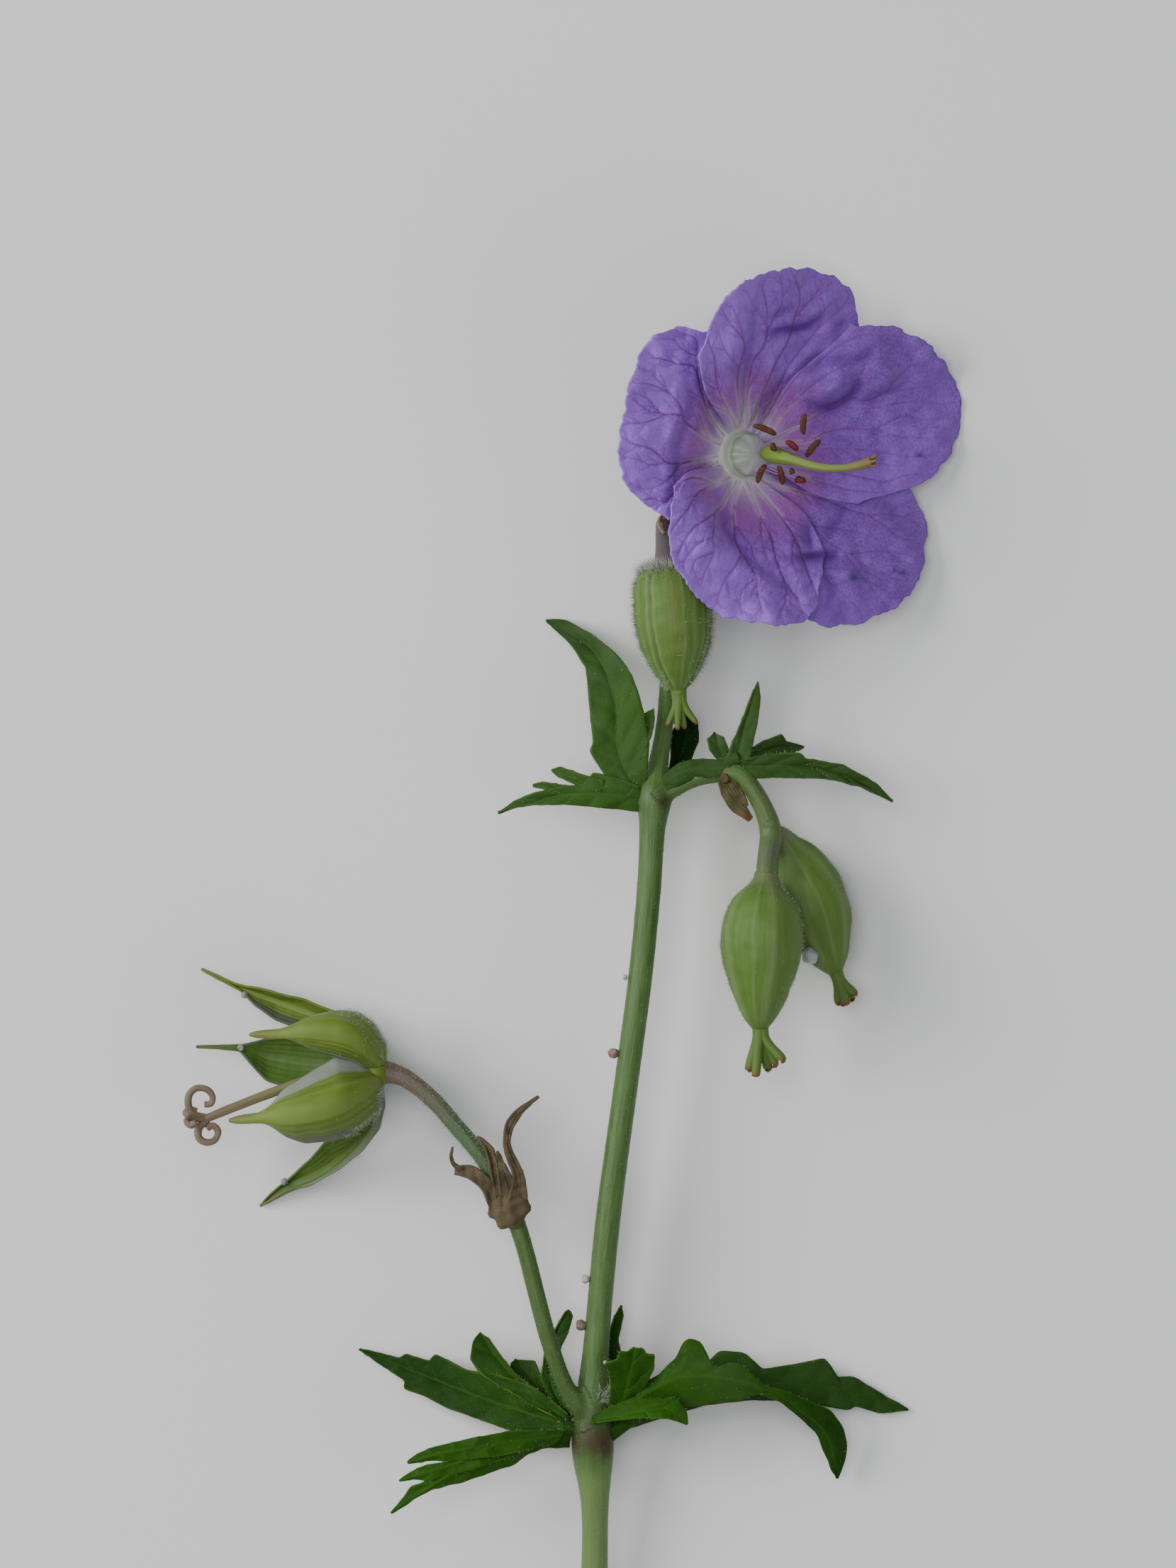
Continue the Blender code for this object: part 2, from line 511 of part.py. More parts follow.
fuse([tube("stem", route) for route in (MAIN_STEM, LEFT_STALK, RIGHT_BRANCH, REAR_BUD_STALK,
                                        FRONT_BUD_STALK)], "stem", "stem")
finish(tube("fading_stalk", FADING_STALK), "fading_stalk", "stalk")
leaf("leaf_lower_left", [(-2.0, -0.4, 6.2, 0.7), (-3.6, -0.5, 6.6, 0.9)], LOWER_LEFT_LEAF)
leaf("leaf_lower_right", [(3.1, 0.4, 6.2, 0.7), (5, 1, 7, 0.9)], LOWER_RIGHT_LEAF)
leaf("leaf_upper_left", [(5.2, 71.3, 8.8, 0.7), (4, 71.6, 9.2, 0.9)], UPPER_LEFT_LEAF)
leaf("leaf_upper_rear", [(9.2, 70.4, 6.4, 0.5), (9.8, 71.6, 6, 0.6)], UPPER_REAR_LEAF)
leaf("leaf_upper_right", [(16.6, 76, 9.4, 0.7), (17.6, 76.4, 9.4, 0.9)], UPPER_RIGHT_LEAF)
bracts("bracts_left", (-8.8, 24.8, 11.95), (1.7, 1.9, 0.65), LEFT_BRACTS)
bracts("bract_right", (15.7, 73, 11.5), (0.8, 0.8, 0.4), RIGHT_BRACTS)
bracts("bract_top", (8.4, 103.8, 4.4), (0.45, 0.45, 0.45), TOP_BRACTS)
for petal_name, values in PETALS.items():
    petal(petal_name, *values)
open_calyx()
stamens()
finish(tube("style", STYLE), "style", "style")
for bud_name, values in BUDS.items():
    bud(bud_name, *values)
fading_flower()
fading_column()
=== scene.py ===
import math

import bpy
import numpy as np
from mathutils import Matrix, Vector, kdtree


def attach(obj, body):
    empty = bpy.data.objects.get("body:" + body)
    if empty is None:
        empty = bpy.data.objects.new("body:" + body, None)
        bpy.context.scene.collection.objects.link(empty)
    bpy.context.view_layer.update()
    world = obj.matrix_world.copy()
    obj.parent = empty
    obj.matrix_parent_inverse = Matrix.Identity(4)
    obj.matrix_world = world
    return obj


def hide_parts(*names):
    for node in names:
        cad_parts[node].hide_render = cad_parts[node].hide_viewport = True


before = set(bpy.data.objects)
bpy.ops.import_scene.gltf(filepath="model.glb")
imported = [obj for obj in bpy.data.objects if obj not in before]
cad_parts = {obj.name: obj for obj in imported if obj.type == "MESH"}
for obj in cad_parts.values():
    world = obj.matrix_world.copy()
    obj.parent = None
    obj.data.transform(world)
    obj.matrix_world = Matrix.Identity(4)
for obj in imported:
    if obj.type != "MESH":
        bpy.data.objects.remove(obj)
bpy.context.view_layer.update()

# A cut flowering stem of hardy geranium, lying on a pale table and seen from above.
# Points are millimetres in the stem's own layout: x to the right, y from the cut end to the flower, z up.
mm = 0.001
layoutMiddle = (-1.7, 45.3, 0.0)   # the layout point that lies over the frame's origin


def place(points):
    return (np.asarray(points, float) - layoutMiddle) * mm


def corners(piece):   # the piece's vertices, one row each
    flat = np.empty(len(piece.data.vertices) * 3, dtype=np.float32)
    piece.data.vertices.foreach_get("co", flat)
    return flat.reshape(-1, 3).astype(float)


def layoutSpots(piece):   # the same, in the layout
    return corners(piece) / mm + layoutMiddle


def moveCorners(piece, points):
    piece.data.vertices.foreach_set("co", place(points).astype(np.float32).ravel())
    piece.data.update()


def note(piece, name, values):   # a number at each vertex, for the material to read
    layer = piece.data.attributes.get(name) or piece.data.attributes.new(name, "FLOAT", "POINT")
    layer.data.foreach_set("value", np.broadcast_to(values, len(piece.data.vertices)).astype(np.float32))


def noteVector(piece, name, *columns):
    layer = piece.data.attributes.new(name, "FLOAT_VECTOR", "POINT")
    layer.data.foreach_set("vector", np.stack(columns, axis=1).astype(np.float32).ravel())


def readBack(piece, name):
    values = np.empty(len(piece.data.vertices), dtype=np.float32)
    piece.data.attributes[name].data.foreach_get("value", values)
    return values


def smooth(value, low, high):   # rises softly from 0 at low to 1 at high
    share = np.clip((value - low) / (high - low), 0, 1)
    return share * share * (3 - 2 * share)


def bump(distance, width):   # 1 in the middle, fading out over about this width
    return np.exp(-(distance / width) ** 2)


def swell(spots, size, seed):   # soft uneven swelling from about -1 to 1, each swell about this many mm long
    rng = np.random.default_rng(seed)
    total = 0
    for _ in range(8):
        way = rng.normal(size=spots.shape[1])
        way /= np.linalg.norm(way)
        total = total + np.sin(spots @ way * (6.283 / size) * rng.uniform(0.6, 1.6) + rng.uniform(0, 6.283))
    return total / 3.4


def lengths(rows):
    return np.linalg.norm(rows, axis=1)


def along(points, shares):   # a smooth curve through the points, read at shares from 0 to 1
    points, shares = np.asarray(points, float), np.atleast_1d(np.asarray(shares, float))
    if points.ndim == 1:
        points = points[:, None]
    spans = len(points) - 1
    span = np.minimum((shares * spans).astype(int), spans - 1)
    t = (shares * spans - span)[:, None]
    a, b = points[np.maximum(span - 1, 0)], points[span]
    c, d = points[span + 1], points[np.minimum(span + 2, spans)]
    return 0.5 * (2 * b + (c - a) * t + (2 * a - 5 * b + 4 * c - d) * t ** 2
                  + (3 * b - a - 3 * c + d) * t ** 3)


def unit(rows):
    return rows / np.maximum(np.linalg.norm(rows, axis=-1, keepdims=True), 1e-9)


def compass(points):   # sideways and up at each point of a route, carried along without twisting
    ahead = unit(np.gradient(points, axis=0))
    side = np.cross(ahead[0], (0, 0, 1))
    if np.linalg.norm(side) < 0.1:
        side = np.cross(ahead[0], (1, 0, 0))
    sides = np.zeros_like(ahead)
    for index, way in enumerate(ahead):
        side = unit(side - way * np.dot(side, way))
        sides[index] = side
    return sides, np.cross(sides, ahead)


def outward(side, up, turn):   # the way out from an axis at each turn round it
    return side * np.cos(turn)[:, None] + up * np.sin(turn)[:, None]


def nearest(points, spots):   # which point is nearest to each spot, and how far off it is
    tree = kdtree.KDTree(len(points))
    for index, point in enumerate(points):
        tree.insert(point, index)
    tree.balance()
    found = [tree.find(spot)[1:] for spot in spots]
    return np.array([f[0] for f in found]), np.array([f[1] for f in found])


def only(*pieces):   # selects these pieces alone
    bpy.ops.object.select_all(action="DESELECT")
    for piece in pieces:
        piece.select_set(True)
    bpy.context.view_layer.objects.active = pieces[0]


def named(name):
    piece = bpy.context.object
    piece.name = piece.data.name = name
    return piece


def applied(piece, kind, **values):
    only(piece)
    step = piece.modifiers.new(kind.lower(), kind)
    for key, value in values.items():
        setattr(step, key, value)
    bpy.ops.object.modifier_apply(modifier=step.name)
    return piece


def inEditMode(piece, *steps):
    only(piece)
    bpy.ops.object.mode_set(mode="EDIT")
    bpy.ops.mesh.select_all(action="SELECT")
    for step in steps:
        step()
    bpy.ops.object.mode_set(mode="OBJECT")
    return piece


def facingOut(piece):
    return inEditMode(piece, lambda: bpy.ops.mesh.normals_make_consistent(inside=False))


def joined(pieces, name):
    only(*pieces)
    if len(pieces) > 1:
        bpy.ops.object.join()
    return named(name)


def sheet(name, columns, rows):   # a flat grid: u from -1 to 1 across it and v from 0 to 1 along it
    bpy.ops.object.select_all(action="DESELECT")
    bpy.ops.mesh.primitive_grid_add(x_subdivisions=columns, y_subdivisions=rows, size=2)
    piece = named(name)
    spots = corners(piece)
    return piece, spots[:, 0], (spots[:, 1] + 1) / 2


def ball(name, segments, rings):   # turn round its axis and share of the way from its top to its end
    bpy.ops.object.select_all(action="DESELECT")
    bpy.ops.mesh.primitive_uv_sphere_add(segments=segments, ring_count=rings, radius=1)
    piece = named(name)
    spots = corners(piece)
    return piece, np.arctan2(spots[:, 1], spots[:, 0]), np.arccos(np.clip(spots[:, 2], -1, 1)) / math.pi


def lump(name, segments, rings, middle, radii, rough, size, seed):   # a small uneven knob
    piece = ball(name, segments, rings)[0]
    spots = corners(piece)
    moveCorners(piece, spots * (1 + rough * swell(spots, size, seed))[:, None] * radii + middle)
    return piece


fibreStretch = 0.12   # fibres are about 8 times as long as wide


def stalk(name, route, sides, step, ribs=0, ribDepth=0.0, seed=0, uneven=0.0):   # route: x, y, z, radius
    route = np.asarray(route, float)
    length = lengths(np.diff(route[:, :3], axis=0)).sum()
    stations = max(int(length / step), 4)
    rows = along(route, np.linspace(0, 1, stations + 1))
    bpy.ops.object.select_all(action="DESELECT")
    bpy.ops.mesh.primitive_circle_add(vertices=sides, radius=1, fill_type="NGON")
    piece = named(name)
    inEditMode(piece, *[lambda: bpy.ops.mesh.extrude_region_move(TRANSFORM_OT_translate={"value": (0, 0, 1)})]
               * stations)
    spots = corners(piece)
    ring = np.rint(spots[:, 2]).astype(int)
    turn = np.arctan2(spots[:, 1], spots[:, 0])
    side, up = compass(rows[:, :3])
    out = outward(side[ring], up[ring], turn)
    radius = rows[ring, 3] * (1 + ribDepth * np.cos(ribs * turn))
    if uneven:
        radius = radius * (1 + uneven * swell(rows[ring, :3] + out, 3.5, seed))
    moveCorners(piece, rows[ring, :3] + out * radius[:, None])
    note(piece, "share", ring / stations)
    noteVector(piece, "fibre", np.cos(turn) * 2, np.sin(turn) * 2, ring / stations * length * fibreStretch)
    return facingOut(piece)


def dress(piece, node, material):   # stands for its CAD node and takes the finish it is given
    piece.data.materials.clear()
    piece.data.materials.append(material)
    only(piece)
    bpy.ops.object.shade_smooth()
    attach(piece, "root")
    if node:
        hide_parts(node)
    return piece


# Shader nodes
def socketOf(tree, socket, value):
    if isinstance(value, bpy.types.NodeSocket):
        tree.links.new(value, socket)
    elif isinstance(value, tuple) and len(value) == 3 and socket.type == "RGBA":
        socket.default_value = (*value, 1)
    else:
        socket.default_value = value


def add(tree, kind, values=None, **settings):
    made = tree.nodes.new(kind)
    for key, value in settings.items():
        setattr(made, key, value)
    for key, value in (values or {}).items():
        socketOf(tree, made.inputs[key], value)
    return made


def blend(tree, share, first, second):
    mixed = add(tree, "ShaderNodeMix", data_type="RGBA")
    for index, value in zip((0, 6, 7), (share, first, second)):
        socketOf(tree, mixed.inputs[index], value)
    return mixed.outputs[2]


def spread(tree, value, low, high, first=0.0, last=1.0):
    return add(tree, "ShaderNodeMapRange", {"Value": value, "From Min": low, "From Max": high,
                                            "To Min": first, "To Max": last}).outputs[0]


def worked(tree, way, first, second):
    made = add(tree, "ShaderNodeMath", operation=way)
    socketOf(tree, made.inputs[0], first)
    socketOf(tree, made.inputs[1], second)
    return made.outputs[0]


def times(tree, first, second):
    return worked(tree, "MULTIPLY", first, second)


def reading(tree, name, output="Fac"):
    return add(tree, "ShaderNodeAttribute", attribute_name=name).outputs[output]


def layered(tree, colour, *layers):   # layers over a colour: a mask or attribute, the tone, and its strength
    for where, tone, *strength in layers:
        share = reading(tree, where) if isinstance(where, str) else where
        colour = blend(tree, times(tree, share, *strength) if strength else share, colour, tone)
    return colour


def shaded(tone, share):
    return tuple(c * share for c in tone)


def groupOf(name, outputs, **inputs):   # a group that takes a Vector and these numbers
    group = bpy.data.node_groups.new(name, "ShaderNodeTree")
    group.interface.new_socket("Vector", in_out="INPUT", socket_type="NodeSocketVector")
    for label, value in inputs.items():
        group.interface.new_socket(label, in_out="INPUT", socket_type="NodeSocketFloat").default_value = value
    for label in outputs:
        group.interface.new_socket(label, in_out="OUTPUT", socket_type="NodeSocketFloat")
    return group, group.nodes.new("NodeGroupInput").outputs, group.nodes.new("NodeGroupOutput").inputs


def buildMottle():   # soft uneven tone
    group, given, wanted = groupOf("mottle", ["Mask"], Scale=200.0, Low=0.35, High=0.65)
    cloud = add(group, "ShaderNodeTexNoise", {"Vector": given["Vector"], "Scale": given["Scale"],
                                              "Detail": 4.0, "Roughness": 0.6})
    group.links.new(spread(group, cloud.outputs["Fac"], given["Low"], given["High"]), wanted["Mask"])
    return group


def buildCells():   # the tiny cells: a bump, and a mask that petals and leaves use for painted sparkle highlights
    group, given, wanted = groupOf("cells", ["Mask", "Height"], Scale=6000.0)
    cell = add(group, "ShaderNodeTexVoronoi", {"Vector": given["Vector"], "Scale": given["Scale"],
                                               "Randomness": 0.9}).outputs["Distance"]
    tone = add(group, "ShaderNodeTexNoise", {"Vector": given["Vector"], "Detail": 2.0,
                                             "Scale": times(group, given["Scale"], 0.4)}).outputs["Fac"]
    group.links.new(worked(group, "SUBTRACT", 1.0, cell), wanted["Height"])
    group.links.new(spread(group, worked(group, "ADD", cell, tone), 0.55, 1.25), wanted["Mask"])
    return group


def buildFibres():   # fine streaks that run along a stalk, a rib or a blade
    group, given, wanted = groupOf("fibres", ["Mask"], Scale=3.0)
    streak = add(group, "ShaderNodeTexNoise", {"Vector": given["Vector"], "Scale": given["Scale"],
                                               "Detail": 3.0, "Roughness": 0.55})
    group.links.new(spread(group, streak.outputs["Fac"], 0.35, 0.68), wanted["Mask"])
    return group


groups = {"mottle": buildMottle(), "cells": buildCells(), "fibres": buildFibres()}
print("shader groups built")


def grouped(tree, name, where, scale, **values):
    values.update(Vector=where, Scale=scale)
    return add(tree, "ShaderNodeGroup", values, node_tree=groups[name]).outputs


def mottled(tree, where, scale, **ends):
    return grouped(tree, "mottle", where, scale, **ends)["Mask"]


def streaks(tree, scale):   # they follow the piece by its own fibre attribute
    return grouped(tree, "fibres", reading(tree, "fibre", "Vector"), scale)["Mask"]


def surface(name, roughness, **fixed):
    material = bpy.data.materials.new(name)
    material.use_nodes = True
    tree = material.node_tree
    shader = tree.nodes["Principled BSDF"]
    shader.inputs["Roughness"].default_value = roughness
    for key, value in fixed.items():
        shader.inputs[key.replace("_", " ")].default_value = value
    return material, tree, shader, add(tree, "ShaderNodeTexCoord").outputs["Object"]


def coat(tree, shader, colour, height=None, depth=0.05, strength=1.0, gloss=None):
    tree.links.new(colour, shader.inputs["Base Color"])
    if gloss:   # a mask, and the roughness where it is 0 and where it is 1
        tree.links.new(spread(tree, gloss[0], 0, 1, *gloss[1:]), shader.inputs["Roughness"])
    if height is not None:
        made = add(tree, "ShaderNodeBump", {"Height": height, "Distance": depth * mm, "Strength": strength})
        tree.links.new(made.outputs["Normal"], shader.inputs["Normal"])


# The stage: a long lens straight above, a pale table and soft studio light
stageValues = {
    "frameMiddle": (-0.04, 72.32), "frameHeight": 177.0, "subjectHeight": 9.0, "lens": 500.0,
    "filmHeight": 36.0, "tableTone": (0.78, 0.78, 0.76), "roomTone": (0.86, 0.92, 1.0), "roomStrength": 0.27,
    "lights": [("overhead", (-0.3, 0.15, 1.8), 0.9, 13.0), ("window", (-1.1, 0.35, 0.8), 0.8, 18.0),
               ("fill", (0.8, -0.6, 0.8), 0.9, 2.5)],
}


def buildStage(values):
    x, y, _ = place((*values["frameMiddle"], 0))
    away = values["frameHeight"] * mm * values["lens"] / values["filmHeight"]
    bpy.ops.object.camera_add(location=(x, y, values["subjectHeight"] * mm + away), rotation=(0, 0, 0))
    camera = named("camera")
    camera.data.lens = values["lens"]
    camera.data.clip_end = 20
    bpy.context.scene.camera = camera
    bpy.ops.mesh.primitive_plane_add(size=6, location=(0, 0, 0))
    table = named("table")
    material, tree, shader, where = surface("tableTop", 0.8)
    pale = values["tableTone"]
    coat(tree, shader, blend(tree, mottled(tree, where, 6.0, Low=0.3, High=0.7), pale, shaded(pale, 0.985)))
    table.data.materials.append(material)
    for name, spot, size, power in values["lights"]:
        bpy.ops.object.light_add(type="AREA", location=spot)
        light = named(name)
        light.data.size = size
        light.data.energy = power
        light.rotation_euler = Vector(spot).to_track_quat("Z", "Y").to_euler()
    world = bpy.data.worlds.new("room")
    world.use_nodes = True
    room = world.node_tree.nodes["Background"]
    room.inputs["Color"].default_value = (*values["roomTone"], 1)
    room.inputs["Strength"].default_value = values["roomStrength"]
    bpy.context.scene.world = world


buildStage(stageValues)
print("stage ready")

# Hairs: each a slim three-sided spike, bent to one side
hairValues = {"rings": (0.0, 0.55), "taper": (1.0, 0.65), "sunk": 0.06, "stray": 0.3, "lowest": 0.02,
              "tone": (0.55, 0.60, 0.50)}


def hairMaterial(pale):
    material, tree, shader, where = surface("hairSilver", 0.45)
    coat(tree, shader, blend(tree, mottled(tree, where, 900.0), pale, shaded(pale, 0.7)))
    return material


hairSilver = hairMaterial(hairValues["tone"])


def hairs(name, host, slot, count, length, width, lean=(0, 0, 0), keep=None, *, seed, curl=0.2,
          values=hairValues):
    rng = np.random.default_rng(seed)
    host.data.calc_loop_triangles()
    index = np.empty(len(host.data.loop_triangles) * 3, dtype=np.int32)
    host.data.loop_triangles.foreach_get("vertices", index)
    index = index.reshape(-1, 3)
    index = index[np.lexsort(index.T)]   # round primitives give their faces in another order each run
    spots = layoutSpots(host)[index]
    across = np.cross(spots[:, 1] - spots[:, 0], spots[:, 2] - spots[:, 0])
    weight = lengths(across)
    if keep is not None:
        weight = weight * np.clip(keep(spots.mean(axis=1), unit(across)), 0, 1)
    picked = rng.choice(len(weight), count, p=weight / weight.sum())
    mix = rng.dirichlet((1, 1, 1), count)
    root = (spots[picked] * mix[:, :, None]).sum(axis=1)
    stray = rng.normal(size=(count, 3)) * values["stray"]
    out = unit(unit(across[picked]) + np.asarray(lean, float) + stray)
    side = unit(np.cross(out, rng.normal(size=(count, 3))))
    over = np.cross(side, out)
    size = (length * rng.uniform(0.55, 1.15, count))[:, None]
    root = root - out * values["sunk"]
    rings = []
    for share, taper in zip(values["rings"], values["taper"]):
        middle = root + out * size * share + side * size * curl * share ** 2
        for turn in (0.0, 2.0944, 4.1888):
            rings.append(middle + (side * math.cos(turn) + over * math.sin(turn)) * width * 0.5 * taper)
    rings.append(root + out * size + side * size * curl)
    points = np.stack(rings, axis=1)
    points[:, :, 2] = np.maximum(points[:, :, 2], values["lowest"])
    base = np.arange(count)[:, None, None] * 7
    walls = [(t, (t + 1) % 3, 3 + (t + 1) % 3, 3 + t) for t in range(3)]
    ends = [(3 + t, 3 + (t + 1) % 3, 6) for t in range(3)] + [(2, 1, 0)]
    mesh = bpy.data.meshes.new(name)
    faces = (base + np.array(walls)[None]).reshape(-1, 4).tolist()
    faces += (base + np.array(ends)[None]).reshape(-1, 3).tolist()
    mesh.from_pydata(place(points.reshape(-1, 3)).tolist(), [], faces)
    piece = bpy.data.objects.new(name, mesh)
    bpy.context.scene.collection.objects.link(piece)
    return dress(facingOut(piece), None, hairSilver)


# The stem and its branches: (x, y, z, radius) along each, and how brown each end is
stemValues = {
    "routes": {
        "main": [(0.2, -40, 1.75, 1.75), (0.6, -22, 3.2, 1.6), (0.75, -10, 4.8, 1.55), (0.5, -3, 5.8, 2.4),
                 (0.5, 1.5, 6.2, 2.1), (0.9, 9, 7, 1.5), (2.2, 23, 8, 1.45), (4.2, 38, 8.6, 1.4),
                 (5.8, 50, 8.9, 1.4), (6.8, 60, 9, 1.4), (7.2, 67, 8.9, 1.5), (7.5, 71, 8.6, 2.0),
                 (7.9, 74.5, 8, 1.2), (8.6, 79, 6.8, 1.0), (9, 84, 5.4, 1.0), (9.1, 92, 3.8, 1.0),
                 (9.3, 100, 3, 1.1), (9.7, 103, 2.8, 1.3), (12, 106.8, 2.2, 0.9), (14, 108.9, 3.2, 0.9),
                 (15.1, 109.5, 5.4, 1.0)],
        "left": [(0, 0.5, 6.3, 1.2), (-1.4, 2.5, 7.6, 1.1), (-2.9, 5, 8.4, 1.0), (-4.6, 10, 9.2, 1.0),
                 (-5.8, 14.5, 9.6, 1.0), (-7.2, 20, 9.8, 1.0), (-8.5, 24, 9.8, 1.05)],
        "right": [(7.8, 71, 8.7, 1.3), (12, 73.1, 9.1, 1.15), (16.2, 73.7, 9.3, 1.3), (18.2, 72.2, 9.5, 1.1),
                  (19.8, 69.5, 9.6, 1.15), (20.6, 66.8, 9.6, 1.3), (20.3, 64.2, 10.6, 1.25),
                  (20.1, 62, 11.3, 1.25), (19.8, 60, 11.8, 0.9)],
        "rear": [(20.5, 67.8, 9.6, 0.9), (20.9, 67, 9.1, 0.75), (21.4, 66.3, 8.2, 0.7), (22, 65.4, 7, 0.7)],
        "front": [(9.5, 102.6, 3.2, 0.9), (8.6, 102, 5, 0.9), (8.5, 100.8, 6.8, 0.95), (8.8, 98.5, 8.9, 1.3),
                  (9.2, 96.4, 9.9, 2.1)],
    },
    "grey": {"main": (0, 0), "left": (0, 0.1), "right": (0.05, 0.75), "rear": (0.7, 0.75),
             "front": (0.8, 0.9)},
    "voxel": 0.3, "green": (0.076, 0.143, 0.035), "darkGreen": (0.046, 0.097, 0.019),
    "greyTone": (0.1, 0.115, 0.048), "flush": (0.05, 0.02, 0.008), "pith": (0.45, 0.47, 0.28),
    "lowTone": (0.15, 0.235, 0.075), "mauve": (0.09, 0.066, 0.085), "nodeShadeTone": (0.024, 0.04, 0.003),
    "flushes": [((0.4, -1.9, 8.1), 1.15), ((2.1, -2.6, 7.4), 1.1), ((2.6, -1.2, 6.6), 1.1),
                ((-1.7, -2.7, 7), 0.7), ((8.3, 70.4, 10), 0.8), ((9.2, 103, 3.2), 1.8)],
    "bruise": (20.9, 64.6, 11.4), "cutEnd": (0.2, 1.75), "tuft": (1.7, 3.2, 7.2),
}


def stemMaterial(values):
    material, tree, shader, where = surface("stemGreen", 0.45, Specular_IOR_Level=0.28)
    streak, tone = streaks(tree, 2.2), mottled(tree, where, 260.0)
    # deep paints shade in the node shade tone
    colour = layered(tree, blend(tree, streak, values["darkGreen"], values["green"]),
                     (tone, shaded(values["green"], 1.45), 0.35), ("low", values["lowTone"], 0.6),
                     ("deep", values["nodeShadeTone"]), ("grey", values["greyTone"]), ("mauve", values["mauve"]),
                     ("flush", values["flush"]), ("cut", values["pith"]))
    cells = grouped(tree, "cells", where, 4200.0)["Height"]
    height = worked(tree, "ADD", streak, times(tree, cells, 0.3))
    coat(tree, shader, colour, height, 0.05, 0.6, (tone, 0.36, 0.52))
    return material


def buildStem(values):
    piece = joined([stalk("stalk", route, 20, 0.8) for route in values["routes"].values()], "stemAndBranches")
    applied(piece, "REMESH", mode="VOXEL", voxel_size=values["voxel"] * mm)
    applied(piece, "SMOOTH", factor=0.5, iterations=4)
    for name in [layer.name for layer in piece.data.attributes if layer.name in ("share", "fibre")]:
        piece.data.attributes.remove(piece.data.attributes[name])
    table = []   # middle, sideways, up, distance run and greyness, at close steps of every route
    for name, route in values["routes"].items():
        rows = along(route, np.linspace(0, 1, 400))[:, :3]
        run = np.cumsum(lengths(np.diff(rows, axis=0, prepend=rows[:1])))
        table.append(np.column_stack([rows, *compass(rows), run, np.linspace(*values["grey"][name], 400)]))
    table = np.concatenate(table)
    spots = layoutSpots(piece)
    table = table[nearest(table[:, :3], spots)[0]]
    out = unit(spots - table[:, :3])
    noteVector(piece, "fibre", (out * table[:, 3:6]).sum(1) * 2, (out * table[:, 6:9]).sum(1) * 2,
               table[:, 9] * fibreStretch)
    x, y, z = spots.T
    note(piece, "grey", table[:, 10] * (0.75 + 0.25 * swell(spots, 3, 4)))
    flush = sum(bump(lengths(spots - spot), size) for spot, size in values["flushes"])
    note(piece, "flush", np.clip(flush, 0, 0.8))
    note(piece, "low", 1 - smooth(y, -7, -3))
    # painted shade: deep darkens the left side of the lower node, where the leaves join, and the left stalk
    lowerNode = 0.75 * bump(y + 0.6, 2.6) * smooth(-x, -3.4, -0.6) * (y < 12)
    leftStalk = 0.3 * smooth(-x, 1.2, 2.2) * smooth(y, 1, 4) * (y < 30)
    note(piece, "deep", np.clip(lowerNode + leftStalk, 0, 0.8))
    bruise = 0.5 * bump(lengths(spots - values["bruise"]), 1.4)
    note(piece, "mauve", 0.85 * smooth(y, 96, 98) * smooth(z, 5, 7) + bruise)
    rind = smooth(np.hypot(x - values["cutEnd"][0], z - values["cutEnd"][1]), 1.1, 1.5)
    note(piece, "cut", smooth(-y, 39.75, 39.9) * (1 - 0.7 * rind))
    return dress(piece, "stem", stemMaterial(values))


stem = buildStem(stemValues)
hairs("stemDown", stem, "stem", 2600, 0.34, 0.035, seed=3, keep=lambda spot, out: 0.3 + (spot[:, 0] < -0.5))
hairs("nodeTuft", stem, "stem", 130, 1.2, 0.06, lean=(0.2, 0.8, 0.6), seed=5, curl=0.7,
      keep=lambda spot, out: lengths(spot - stemValues["tuft"]) < 1.4)
print("stem built")

# The stalk of the fading flower, green that turns pinkish brown
fadingStalkValues = {
    "route": [(-8.05, 23.15, 9.8, 1.05), (-10, 27, 9.8, 0.95), (-12.1, 30.3, 9.8, 0.95),
              (-14.6, 33.3, 9.6, 0.95), (-17.4, 36.5, 9.4, 0.95), (-20.2, 38.8, 9.2, 1.0),
              (-22, 39.6, 9, 1.15), (-23.6, 39.8, 9, 1.4)],
    "green": (0.065, 0.118, 0.042), "pink": (0.155, 0.10, 0.078), "fibre": (0.055, 0.08, 0.035),
}


def buildFadingStalk(values):
    material, tree, shader, _ = surface("stalkPink", 0.5, Specular_IOR_Level=0.35)
    streak = streaks(tree, 2.4)
    turning = spread(tree, reading(tree, "share"), 0.42, 0.72)
    colour = blend(tree, turning, values["green"], values["pink"])
    coat(tree, shader, layered(tree, colour, (streak, values["fibre"], 0.4)), streak, 0.05, 0.6)
    piece = stalk("fadingStalk", values["route"], 28, 0.4, ribs=5, ribDepth=0.025, uneven=0.03)
    dress(piece, "fading_stalk", material)
    hairs("fadingStalkHairs", piece, "hairy_stalk", 1700, 0.6, 0.038, lean=(0.1, -0.2, 0), seed=8)


buildFadingStalk(fadingStalkValues)
print("fading stalk built")


# Blades: the rib's route, and the two edges from base to tip. An edge point may leave out its height: then it
# lies as high as the rib, and lift raises or lowers it by a share of its distance from the rib.
bladeValues = {"rounding": 0.012, "rounded": 0.8, "ribWidth": 0.17, "ribHeight": 0.1, "branchSlope": 0.9}


